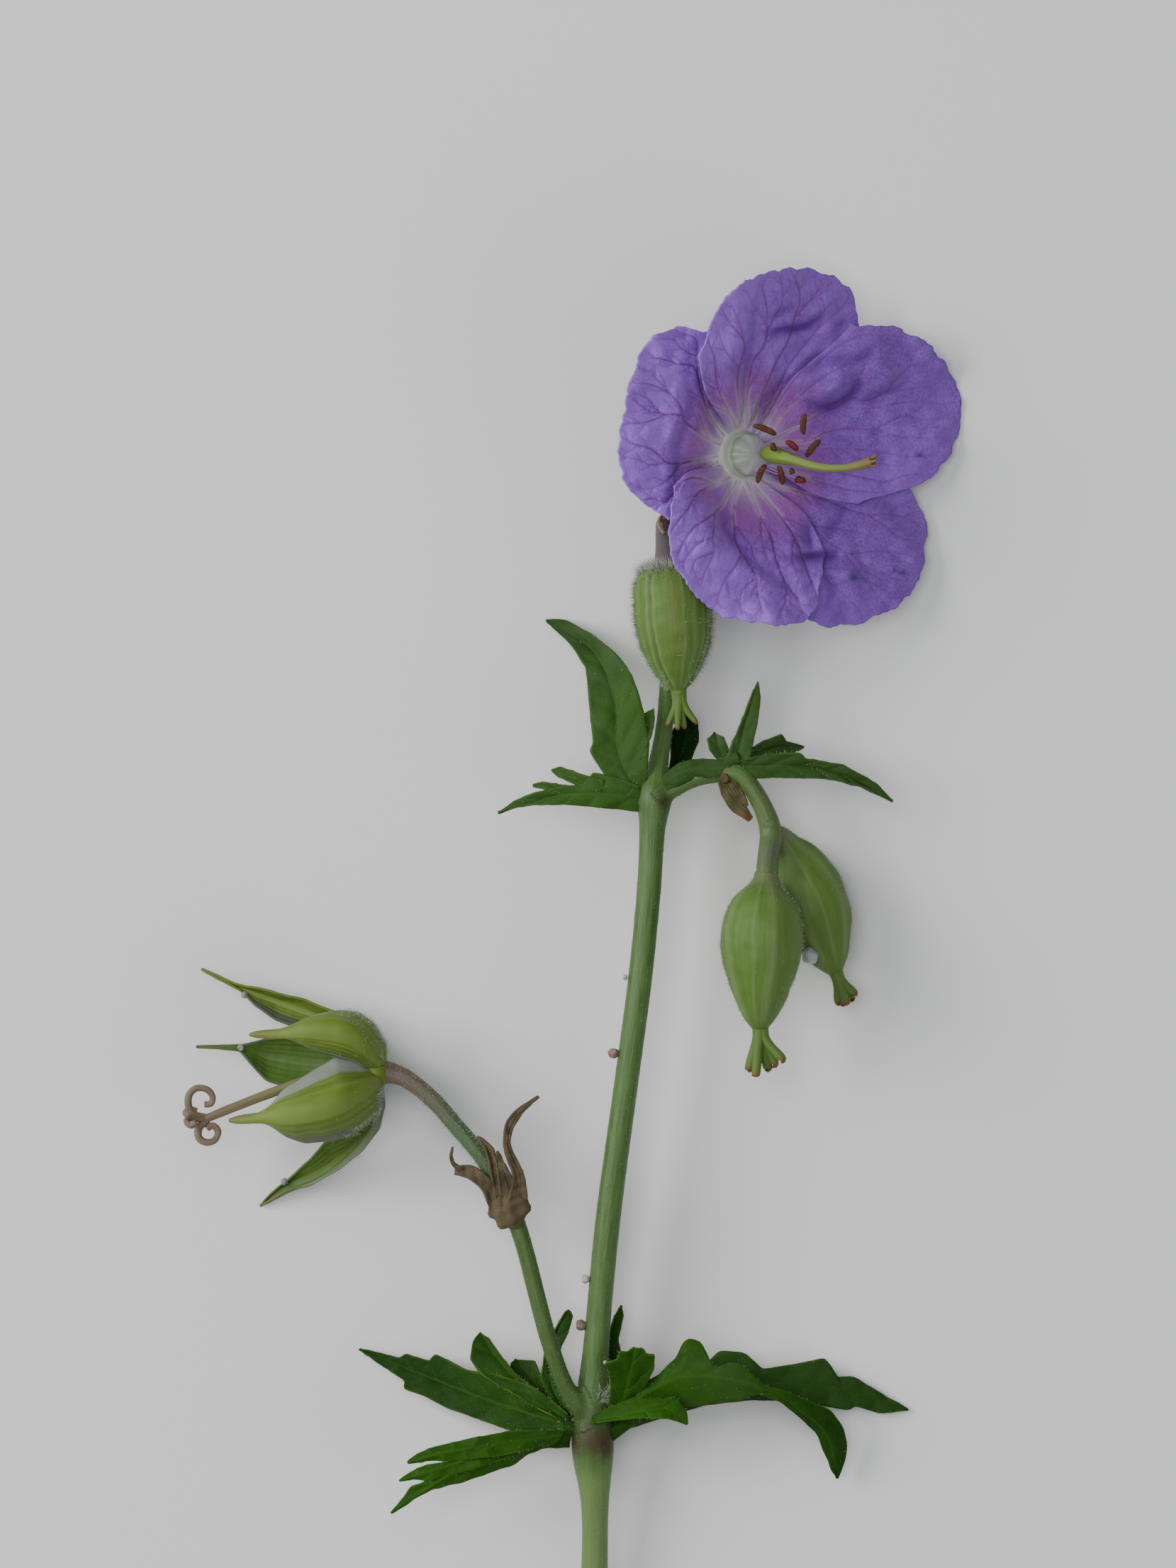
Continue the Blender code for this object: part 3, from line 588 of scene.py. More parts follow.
def edgePoints(edge, rib, v, lift, values=bladeValues):
    edge = np.asarray(edge, float)
    steps = lengths(np.diff(edge, axis=0))
    shares = np.concatenate([[0], np.cumsum(steps) / steps.sum()])

    def read(gap):
        return np.stack([np.interp(np.clip(v + gap, 0, 1), shares, column) for column in edge.T], axis=1)

    rounded = sum(read(gap * values["rounding"]) for gap in (-1, 0, 1)) / 3
    points = read(0) * (1 - values["rounded"]) + rounded * values["rounded"]
    if edge.shape[1] == 2:
        points = np.column_stack([points, rib[:, 2] + lift * lengths(points - rib[:, :2])])
    return points


def blade(name, rib, left, right, lift=(0.1, 0.1), bulge=0.0, *, columns, rows, thick=0.32, seed,
          nerves=(), pinnate=3.2, crinkle, swells=0.2, values=bladeValues):
    piece, u, v = sheet(name, columns, rows)
    middle = along(rib, v)
    sides = [edgePoints(edge, middle, v, rise) for edge, rise in zip((left, right), lift)]
    side = np.where((u > 0)[:, None], sides[1], sides[0])
    reach = lengths(side - middle)
    spots = middle + (side - middle) * np.abs(u)[:, None]
    forward = unit(along(rib, np.minimum(v + 0.02, 1)) - along(rib, np.maximum(v - 0.02, 0)))
    across = unit(side - middle) * np.where(u > 0, 1, -1)[:, None]
    facing = unit(np.cross(across, forward))
    far = reach * np.abs(u)
    length = lengths(np.diff(np.asarray(rib, float), axis=0)).sum()
    vein = bump(far, values["ribWidth"]) * (1 - smooth(v, 0.85, 1))
    for where, size in nerves:   # nerves that run along the blade, at these shares of its half width
        vein = np.maximum(vein, 0.8 * bump((np.abs(u) - where) * reach, size) * smooth(v, 0.02, 0.1)
                          * (1 - smooth(v, 0.55, 0.85)))
    height = values["ribHeight"] * vein * (len(nerves) > 0)
    if pinnate:   # or veins that branch off the rib, this many mm apart
        run = v * length - far * values["branchSlope"] + 0.25 * swell(spots, 3, seed)
        gap = np.abs((run / pinnate + 0.5 * (u > 0)) % 1 - 0.5) * pinnate * 0.75
        branch = bump(gap, 0.14) * smooth(far, 0.05, 0.3) * (1 - smooth(np.abs(u), 0.75, 1))
        small = np.abs((v * length + far * 1.3 + 0.2 * swell(spots, 2, seed + 1)) / 1.1 % 1 - 0.5) * 1.1
        vein = np.maximum(vein, np.maximum(branch * 0.8, 0.35 * bump(small, 0.08) * smooth(far, 0.1, 0.4)))
        height = 0.12 * (1 - bump(gap, 0.7)) * smooth(far, 0.1, 0.8) \
            - values["ribHeight"] * np.maximum(bump(far, 0.25), branch)
    curve = bulge * reach * (1 - np.abs(u) ** 2)
    rough = crinkle * swell(spots, 1.5, seed) + swells * swell(spots, 5, seed + 3) * smooth(far, 0, 1.5)
    moveCorners(piece, spots + facing * (curve + height + rough)[:, None])
    note(piece, "vein", vein)
    note(piece, "margin", np.abs(u))
    note(piece, "rightHand", u > 0)
    note(piece, "share", v)
    noteVector(piece, "fibre", u * reach * 1.2, v * length * fibreStretch, np.full(len(u), seed * 1.7))
    applied(piece, "SOLIDIFY", thickness=thick * mm, offset=0.0)
    return facingOut(piece)


def evenEdges(rib, widths, up):   # the same half widths on both sides of a rib
    shares = np.linspace(0, 1, 60)
    middle = along(rib, shares)
    across = unit(np.cross(unit(np.gradient(middle, axis=0)), up)) * along(widths, shares)
    return (middle - across).tolist(), (middle + across).tolist()


def noteUnder(piece, up=(0, 0, 1)):   # 1 where the surface faces away from up
    normals = np.empty(len(piece.data.vertices) * 3, dtype=np.float32)
    piece.data.vertex_normals.foreach_get("vector", normals)
    note(piece, "under", smooth(-(normals.reshape(-1, 3) @ np.asarray(up, float)), -0.05, 0.15))


# Leaves
leafValues = {
    # deep is the painted shade tone and lit the painted light tone
    "dark": (0.005, 0.031, 0.001), "light": (0.017, 0.068, 0.003), "under": (0.035, 0.09, 0.014),
    "vein": (0.034, 0.095, 0.008), "margin": (0.09, 0.16, 0.012), "deep": (0.002, 0.014, 0.001),
    "lit": (0.028, 0.105, 0.002), "leafShade": {"leaf_upper_rear": 0.75, "leaf_upper_right": 0.1},
    "paleGreenTone": (0.062, 0.108, 0.036),
    "paleGreen": {"upperLeftLeaf": 0.55, "upperRightLeaf": 0.5, "lowerLeftLeaf": 0.12},
    "paleGreenPatch": (15.5, 5.3, 11),
}
# CAD node, the leaf's short stalk, and each lobe's rib, left edge, right edge and lift of the edges
leafForms = {
    "lowerLeftLeaf": ("leaf_lower_left", [(-1.2, -0.5, 6.2, 0.8), (-3.2, -0.5, 6.5, 1.0)], [
        ([(-2, -0.2, 6.2), (-10, 2.2, 4.8), (-18, 5.2, 2.6), (-26, 8.3, 0.9)],
         [(-2.2, -1.2), (-7.5, -1.3), (-12.5, 0.5), (-16, 1.7), (-18.5, 3), (-21, 3.9), (-20.7, 4.7),
          (-23, 6.2), (-26, 8.3)],
         [(-2.2, 1.2), (-6, 4.2), (-10, 5.6), (-13.5, 6), (-17.4, 7.9), (-17.9, 7), (-20.8, 7.9),
          (-21.2, 7.3), (-24, 8), (-26, 8.4)], (0.1, 0.1)),
        ([(-2.2, 0.2, 6.3), (-6.4, 3.6, 5.8), (-9.6, 6.6, 4.8), (-12.3, 10.3, 3.5)],
         [(-3.2, 0.3), (-8, 3), (-12, 5.4), (-13.4, 7.2), (-13.1, 9.2), (-12.3, 10.3)],
         [(-2.2, 1.2), (-5.2, 3.4), (-8.2, 5.6), (-9.8, 7.6), (-11.2, 9.6), (-12.3, 10.3)], (0.12, 0.12)),
        ([(-2.2, 0, 5.8), (-5.4, 3.8, 4.2), (-8.2, 7.2, 3)],
         [(-3.5, 0.8), (-6.7, 3.4), (-8.8, 5.5), (-8.8, 6.8), (-8.2, 7.3)],
         [(-2.2, 0.9), (-4.5, 3.5), (-5.4, 5.5), (-6.1, 7.1), (-8.2, 7.2)], (0.1, 0.1)),
        ([(-2.2, 0.2, 6), (-4.2, 4.4, 5.2), (-4, 9, 5.4), (-2.2, 12.9, 5.6)],
         [(-3.2, 0.8), (-5.4, 5), (-5, 8), (-3.9, 10.5), (-2.7, 12.6), (-2.2, 12.9)],
         [(-1.7, 0.8), (-3.2, 4.5), (-3.1, 8.5), (-2.2, 10.5), (-1.7, 12.2), (-2.2, 12.9)], (0.1, 0.1)),
        ([(-2, -0.8, 6.6), (-8.5, -2.9, 9.8), (-15.2, -5.4, 11.2), (-22.3, -9.9, 10.4)],
         [(-2.4, -0.6), (-9, -1.7), (-14.5, -3.7), (-18.4, -6.3), (-20.1, -6.9), (-20.9, -8.2),
          (-22.3, -9.9)],
         [(-2, -2.7), (-5.5, -2.8), (-7, -3.3), (-8.3, -4.4), (-10.5, -5.3), (-14, -6.3), (-17.5, -7.2),
          (-20, -8.3), (-22.3, -10)], (0.1, -0.35)),
        ([(-4.4, -1.6, 8.3), (-12, -3.4, 11), (-17, -4.9, 11.6), (-21.3, -6.2, 11.3)],
         [(-4.4, -0.9), (-12, -2.6), (-15.5, -4), (-18.2, -4.4), (-20, -5.2), (-21.4, -6.2)],
         [(-5, -2.4), (-13, -5), (-18.4, -6.3), (-19.6, -6), (-21.4, -6.3)], (0, -0.1)),
        ([(-3, -1.2, 7.8), (-11, -2.2, 11), (-16, -3, 11.8), (-20.4, -4.2, 11.4)],
         [(-2.4, -0.6), (-9, -0.7), (-13, -1.4), (-17, -2.3), (-19.4, -3.2), (-20.4, -4.2)],
         [(-3.4, -2.1), (-11, -3.6), (-15.5, -4), (-18, -4), (-20.4, -4.3)], (-0.15, 0))]),
    "lowerRightLeaf": ("leaf_lower_right", [(2.2, -1.2, 6, 1), (4.2, 0.2, 6.4, 0.9), (6.5, 1.6, 7.4, 0.6)], [
        ([(0.3, 0.35, 8.6), (3.2, 0.9, 9.6), (6, 1.5, 10.4), (9, 1.8, 10.6), (11.2, 0.1, 10.3)],
         [(0.5, 0.9), (2.5, 2), (5, 3), (8.5, 2.9), (9.9, 3.3), (10.5, 2.3), (11.1, 1.4), (11.3, 0.1)],
         [(0.1, 0.1), (3, 0.5), (6, 0.75), (9, 0.7), (11.2, 0)], (-0.2, 0.1)),
        ([(2.8, 0.8, 8), (4, 3.4, 8.9), (4.8, 6, 9.8), (5.2, 8.7, 10.4)],
         [(2.2, 1.2), (2.5, 4), (2.3, 6.2), (1.9, 7.1), (3.2, 7.5), (3.5, 8.4), (4.4, 8.3), (5.2, 8.8)],
         [(4.2, 1.2), (6.6, 4.6), (7.4, 6.2), (7.5, 7.9), (6.6, 8), (6.1, 8.7), (5.2, 8.7)], (0.1, 0.1)),
        ([(2.6, 0.8, 7.6), (6.6, 3.6, 9.3), (11, 5.6, 11.2), (17, 5, 11), (22.5, 2.5, 8.6), (26.9, -1.2, 5),
          (28.2, -6.3, 2.2)],
         [(2.6, 1.7), (6.5, 4.7), (8.5, 5.9), (10, 7.6), (11.3, 9.8), (12.7, 9.4), (13.6, 7.6), (14.1, 6.4),
          (16.2, 7.1), (17.2, 6.8), (19.3, 4.9), (19.6, 4.5), (22, 3.9), (25, 2.6), (27.4, 1.6), (28.9, -0.5),
          (29.4, -2.5), (28.9, -4.8), (28.2, -6.3)],
         [(3.4, 0.6), (7.5, 2.5), (11, 2.2), (14, 2.5), (17, 2.8), (19.2, 3.5), (21.5, 2.7), (23.6, 1),
          (25.6, -0.8), (26.6, -3), (27.6, -5.4), (28.2, -6.3)], (-0.15, -0.55)),
        ([(3.4, 0, 5.7), (12, 3.8, 4.4), (22, 4.6, 3), (30, 3.4, 1.7), (36.3, 1.4, 0.5)],
         [(3.2, 1.5), (8, 4.5), (13, 6.4), (14.8, 8.3), (17.8, 8), (19.4, 6.1), (23, 6.6), (26.9, 7.4),
          (27.8, 5.2), (30, 5.3), (33, 3.4), (36.3, 1.5)],
         [(3.8, -0.8), (9, 0.8), (13, 2), (18, 2.6), (23, 2.5), (29.5, 1.4), (30, 2), (33, 1), (36.3, 1.4)],
         (0.1, 0.1)),
        ([(3.4, 0.8, 5.8), (3.5, 5, 4.8), (2.8, 9, 4.4), (3.7, 13.3, 4.4)],
         [(2.6, 1), (2.4, 5), (2.1, 9.6), (2.9, 12), (3.7, 13.4)],
         [(4.4, 1), (4.3, 5), (3.4, 9.5), (4, 12.2), (3.7, 13.4)], (0.1, 0.1))]),
    "upperLeftLeaf": ("leaf_upper_left", [(6, 71, 8.8, 0.9), (4.6, 71.6, 9.2, 0.9)], [
        ([(5.4, 71.6, 9.2), (3.4, 76, 9.7), (3, 82, 8.2), (0.6, 87.3, 4.8), (-4.8, 90.9, 0.35)],
         [(5, 71.8), (2.2, 72.8), (0.7, 75), (0.1, 76.1), (0.5, 76.9), (0.2, 80), (-0.3, 85.5), (-2.1, 88.2),
          (-4.9, 90.8)],
         [(6.2, 71.6), (6.7, 74), (6.9, 77), (6.4, 79.6), (5.9, 82), (5, 84.6), (3.2, 87), (0.5, 89.3),
          (-2.5, 90.9), (-4.8, 91)], (0.15, 0.15)),
        ([(5, 75.4, 9.8), (6.2, 78.2, 9.9), (7.4, 80.9, 9.4)],
         [(4.6, 75.6), (5.2, 78.4), (6.2, 80.2), (7.4, 80.9)],
         [(5.9, 75), (7.1, 77.6), (7.5, 79.8), (7.4, 80.9)], (0.1, 0.1)),
        ([(6, 70.8, 9.4), (0.5, 71.3, 9.9), (-4.2, 70.9, 9), (-10.2, 69, 7)],
         [(6, 69.2), (2, 69.6), (-3, 70), (-7, 69.9), (-10.2, 69)],
         [(5.6, 72.2), (3, 73.2), (0.5, 73.6), (-0.5, 72.3), (-3, 72.1), (-6, 71.4), (-8.3, 70.5),
          (-10.2, 69.1)],
         (-0.2, 0.1)),
        ([(1.6, 71.9, 10), (-1.2, 72.8, 9.6), (-4.2, 73.9, 8.6)],
         [(1.4, 71.4), (-1.4, 72.2), (-3.6, 73.2), (-4.2, 73.8)],
         [(1.8, 72.8), (-1, 73.5), (-3.2, 74.3), (-4.2, 74)], (0.1, 0.1)),
        ([(0, 71.4, 9.5), (-3, 71.8, 9.2), (-6.3, 72.2, 8.4)],
         [(0, 71), (-3, 71.3), (-6.3, 72)], [(0, 71.9), (-3, 72.2), (-5.2, 72.6), (-6.3, 72.3)],
         (0.1, 0.1))]),
    "upperRearLeaf": ("leaf_upper_rear", [(8.4, 70.2, 7, 0.6), (9.6, 71.6, 6.2, 0.7)], [
        ([(9.2, 70.9, 6.6), (10.4, 75, 4.8), (11.5, 80.4, 3.2)],
         [(8.6, 71), (9.2, 75), (9.5, 78.4), (10.6, 79.8), (11.5, 80.6)],
         [(10.4, 71), (11.4, 74.6), (12.5, 77.2), (12.4, 79.4), (11.5, 80.7)], (0.1, 0.1))]),
    "upperRightLeaf": ("leaf_upper_right", [(15, 74.6, 9.6, 0.9), (17, 75.4, 9.7, 0.9)], [
        ([(15.6, 75.2, 9.8), (14.8, 76.4, 10.1), (14.3, 78.1, 9.8)],
         [(14.6, 75), (13.6, 76.2), (13.4, 77.4), (14.3, 78.2)],
         [(16.2, 75.4), (15.8, 76.4), (15.3, 77.6), (14.3, 78.1)], (0.1, 0.1)),
        ([(16.8, 74.8, 9.9), (17.6, 79, 10), (19.2, 83.8, 8.6)],
         [(15.4, 75), (16.3, 77.2), (17.5, 79.9), (18.5, 82.6), (19.2, 83.9)],
         [(18.2, 75), (18.7, 77.6), (19.2, 80), (19.45, 82.2), (19.2, 83.8)], (0.2, 0.2)),
        ([(17.4, 75, 9.6), (20.4, 76.2, 8.6), (24.4, 76.5, 7)],
         [(17.6, 75.9), (19.6, 77), (21.8, 78), (22.3, 77.2), (24.4, 76.6)],
         [(18, 74.2), (21, 74.9), (24.4, 76.4)], (0.1, 0.1)),
        ([(16.8, 74.2, 9.8), (22, 74.4, 9.8), (28, 73.6, 8.4), (34.4, 70.4, 6)],
         [(17, 75.2), (22, 75.9), (24, 75.9), (24.6, 75.2), (29, 74.4), (32.6, 72.4), (34.5, 70.4)],
         [(17.2, 73), (22, 73), (27, 72.9), (31, 71.9), (34.4, 70.2)], (0.1, -0.1)),
        ([(8.2, 72.2, 10), (11.2, 73.9, 10.5), (16, 74.1, 10.4)],
         [(8.4, 73.2), (10.4, 74.7), (13, 75.2), (16, 74.8)],
         [(8.8, 71.6), (12, 73), (16, 73.4)], (-0.3, -0.3))]),
}


def leafMaterial(values):
    material, tree, shader, where = surface("leafGreen", 0.55, Specular_IOR_Level=0.08)
    tone, cells = mottled(tree, where, 170.0), grouped(tree, "cells", where, 3800.0)
    # painted highlight: the cell mask lightens the leaf toward the light tone as sparkle
    colour = layered(tree, blend(tree, tone, values["dark"], values["light"]),
                     (cells["Mask"], values["light"], 0.35), ("vein", values["vein"], 0.6),
                     (spread(tree, reading(tree, "margin"), 0.93, 1.0, 0.0, 0.75), values["margin"]),
                     ("under", values["under"], 0.8), ("paleGreen", values["paleGreenTone"]),
                     # painted shade in the deep tone, painted light in the lit tone
                     ("deep", values["deep"]),
                     (times(tree, reading(tree, "lit"), spread(tree, tone, 0, 1, 0.4, 1.0)), values["lit"]))
    coat(tree, shader, colour, cells["Height"], 0.05, 0.6, (cells["Mask"], 0.42, 0.6))
    return material


leafGreen = leafMaterial(leafValues)
for leafName, (node, leafStalk, lobes) in leafForms.items():
    parts = [stalk("leafStalk", leafStalk, 18, 0.3)]
    for order, (rib, left, right, lift) in enumerate(lobes):
        columns, rows = (18, 90) if len(rib) > 3 else (12, 44)
        parts.append(blade("lobe", rib, left, right, lift, columns=columns, rows=rows,
                           seed=order + 2 + len(leafName), crinkle=0.03))
    leaf = joined(parts, leafName)
    noteUnder(leaf)
    spots = layoutSpots(leaf)
    # paler grey-green on the upper leaves, a little on the lower left leaf, and on one patch of the lower
    # right leaf
    paleShare = leafValues["paleGreen"].get(leafName, 0) * (1 + 0.3 * swell(spots, 7, 3))
    paleShare = paleShare + 0.4 * bump(lengths(spots - leafValues["paleGreenPatch"]), 4.5)
    note(leaf, "paleGreen", np.clip(paleShare, 0, 0.85))
    shady = leafValues["leafShade"].get(node)   # painted shade: these leaves are shaded all over, the others only low down
    note(leaf, "deep", 0.4 * (1 - smooth(spots[:, 2], 1.5, 6.5)) if shady is None else shady)
    note(leaf, "lit", 0.55 * smooth(spots[:, 2], 6.5, 11) * (shady is None))
    dress(leaf, node, leafGreen)
    hairs(leafName + "Hairs", leaf, "leaf", 110 * len(lobes), 0.45, 0.03, seed=len(leafName),
          keep=lambda spot, out: 0.05 + 0.95 * (np.abs(out[:, 2]) < 0.5))
print("leaves built")

# The open flower: five petals on a seat that is tilted to the right
flowerValues = {
    "seat": (16.5, 109.5, 7.75), "tilt": 33.0, "rise": 0.42, "flatten": 110.0, "claw": 1.7,
    "columns": 220, "rows": 86, "thick": 0.22, "puff": (0.05, 0.12, 0.2, 0.2, 0.06), "ripple": 0.35,
    "folds": 2.0, "fan": 0.22, "veinDepth": 0.05, "lowest": 0.16, "veinClear": (0.6, 0.85, 1.0, 1.0, 0.65),
    # light and deep are the lit and the shaded petal tones, blended by the painted shade
    "deep": (0.13, 0.033, 0.29), "light": (0.345, 0.137, 0.71), "pink": (0.31, 0.075, 0.33),
    "pale": (0.70, 0.58, 0.68), "vein": (0.12, 0.01, 0.13), "creaseShade": (0.075, 0.006, 0.2),
    "clawVein": (0.24, 0.23, 0.21), "under": (0.30, 0.20, 0.50), "spot": (0.035, 0.025, 0.12),
    "sparkle": (0.42, 0.27, 0.80),
}
# CAD node, middle, half span, rim radii, lap of the clockwise and the other edge, start and strength of
# the bend
petalForms = {
    "petalRight": ("petal_right", 16, 37, (14, 20.8, 24.8, 26.5, 24.8, 22.3, 18.5), 1, 1, 17, 0.02),
    "petalTop": ("petal_top", 85, 41, (19, 22.5, 22.2, 21, 20, 17.9, 14), -1, 1, 14, 0.05),
    "petalLeft": ("petal_left", 162, 48, (15, 18.4, 19, 18.7, 18.4, 17.3, 13.6), -1, -1, 10, 0.065),
    "petalLowerLeft": ("petal_lower_left", 254, 50, (12, 16.4, 17.9, 18.9, 19.4, 19.2, 14), 1, 1, 10, 0.065),
    "petalLowerRight": ("petal_lower_right", 318, 42, (16, 20.5, 23, 24.6, 24.4, 21.6, 14), -1, -1, 17, 0.03),
}
# Folds as the camera sees them: points, rise, width on the left and on the right of the line, depth of shade
petalFolds = [
    ([(10.8, 121), (10.2, 117), (10.4, 114), (9.4, 111.6), (8.8, 109), (9.2, 107), (8.4, 104.6)], 0.55, 3.4,
     1.0, 0.0),
    ([(11.4, 121), (11.3, 117), (11.4, 114), (10.4, 111.6), (9.9, 109), (10.2, 107), (9.4, 104.8)], -0.35,
     0.7, 1.6, 0.35),
    ([(12.6, 107.6), (13.4, 104), (14, 100.5), (16.2, 98.2), (18.8, 95.6), (22, 93.2)], 0.55, 1.0, 3.6, 0.0),
    ([(13.9, 107.2), (14.7, 103.6), (15.4, 100.8), (17.3, 98.6), (19.6, 96.4), (22.6, 94)], -0.4, 1.7, 0.7,
     0.4),
    ([(19.6, 123.2), (22, 123.8), (24.4, 124.2), (26.6, 125.4)], -0.55, 0.5, 1.2, 0.95),
    ([(20.4, 124.8), (21.8, 125.8), (23.4, 126.4)], -0.3, 0.6, 0.6, 0.4),
    ([(18.4, 126.6), (18.5, 123.6), (17.8, 120.4), (17.4, 117)], -0.35, 1.1, 1.1, 0.4),
    ([(16.6, 126), (16.2, 122), (15.8, 118.6), (15.6, 116)], 0.35, 1.4, 1.0, 0.0),
    ([(20.6, 119), (21.6, 121.4), (23.8, 123.2)], 0.4, 1.3, 1.3, 0.0),
    ([(24.8, 115.5), (26.4, 115.1), (28.2, 115.5), (29.8, 116.8), (30.6, 118.4)], -0.65, 0.6, 1.4, 0.95),
    ([(25.6, 116.6), (27.6, 117), (29.2, 118.6)], 0.45, 1.2, 1.0, 0.0),
    ([(24.6, 118.6), (26.6, 119.8), (29.4, 120.1), (32.8, 120.7)], -0.4, 1.4, 0.7, 0.35),
    ([(31.4, 118.2), (33, 119.4), (35, 118.6)], 0.45, 1.2, 1.2, 0.0),
    ([(31, 115.6), (33.4, 116.4), (36.4, 118)], -0.35, 0.9, 0.9, 0.3),
    ([(33.4, 122.2), (36, 121.4), (38, 119)], -0.25, 1.1, 0.8, 0.2),
    ([(22, 97.7), (24.4, 98.1), (26.4, 98.3), (28.4, 98.1)], -0.55, 0.6, 1.3, 0.9),
    ([(25, 102), (25, 100.4), (25.2, 98.6)], -0.35, 0.6, 1.2, 0.45),
    ([(27, 100.2), (28.4, 102), (29.2, 104.2)], -0.35, 1.3, 0.8, 0.4),
    ([(26, 96.6), (28.6, 96), (31.4, 96.6)], 0.45, 1.0, 1.3, 0.0),
    ([(17.4, 104), (17.6, 101), (18.4, 98.6), (20, 96.6)], 0.35, 1.1, 1.1, 0.0),
    ([(22.4, 101), (23, 98.6), (23.6, 95.6), (24.4, 93)], 0.3, 0.9, 0.9, 0.0),
    ([(26.6, 96.2), (27.3, 94), (26.8, 92)], -0.3, 0.7, 0.6, 0.35),
    ([(32.6, 103.4), (34.8, 101), (36.4, 98.4)], 0.35, 1.4, 1.4, 0.0),
]
petalShadePatches = [   # painted shade and painted light: middle, reach, and how much darker (above 0) or lighter (below 0) the petals are painted there
    ((24, 111.5), 3.6, 0.55), ((21.5, 104.4), 3.4, 0.5), ((30.2, 118.4), 2.6, 0.4), ((30, 99.5), 4, 0.35),
    ((18, 94.4), 2.6, 0.4), ((31, 96.5), 2.5, 0.2), ((26, 94), 1.8, -0.3), ((17, 104.4), 2.6, 0.35),
    ((30, 112.5), 4, 0.25), ((22, 118.6), 2.4, -0.9), ((26, 122), 3, -0.25), ((34.4, 107), 3.5, -0.4),
    ((28, 106), 2.2, -0.4), ((38, 112), 4, -0.15),
]
petalSpots = [((29.9, 95.7), 0.55), ((35.5, 96.2), 0.4), ((37.4, 109.5), 0.4), ((34.6, 96.5), 0.25)]


def flowerPoints(radius, angle, height, values=flowerValues):
    tilt = math.radians(values["tilt"])
    levelX, levelY = radius * np.cos(angle), radius * np.sin(angle)
    x = levelX * math.cos(tilt) + height * math.sin(tilt)
    z = height * math.cos(tilt) - levelX * math.sin(tilt)
    return np.stack([x, levelY, z], axis=-1) + values["seat"]


flowerUp = flowerPoints(0, 0, 1) - flowerPoints(0, 0, 0)
flowerSide = unit(np.cross(flowerUp, (0, 1, 0)))
flowerOver = np.cross(flowerUp, flowerSide)


def roundSeat(height, turn, across, above):   # points round the flower's axis
    return flowerPoints(0, 0, height) + outward(flowerSide, flowerOver, turn) * across[:, None] \
        + flowerUp * above[:, None]


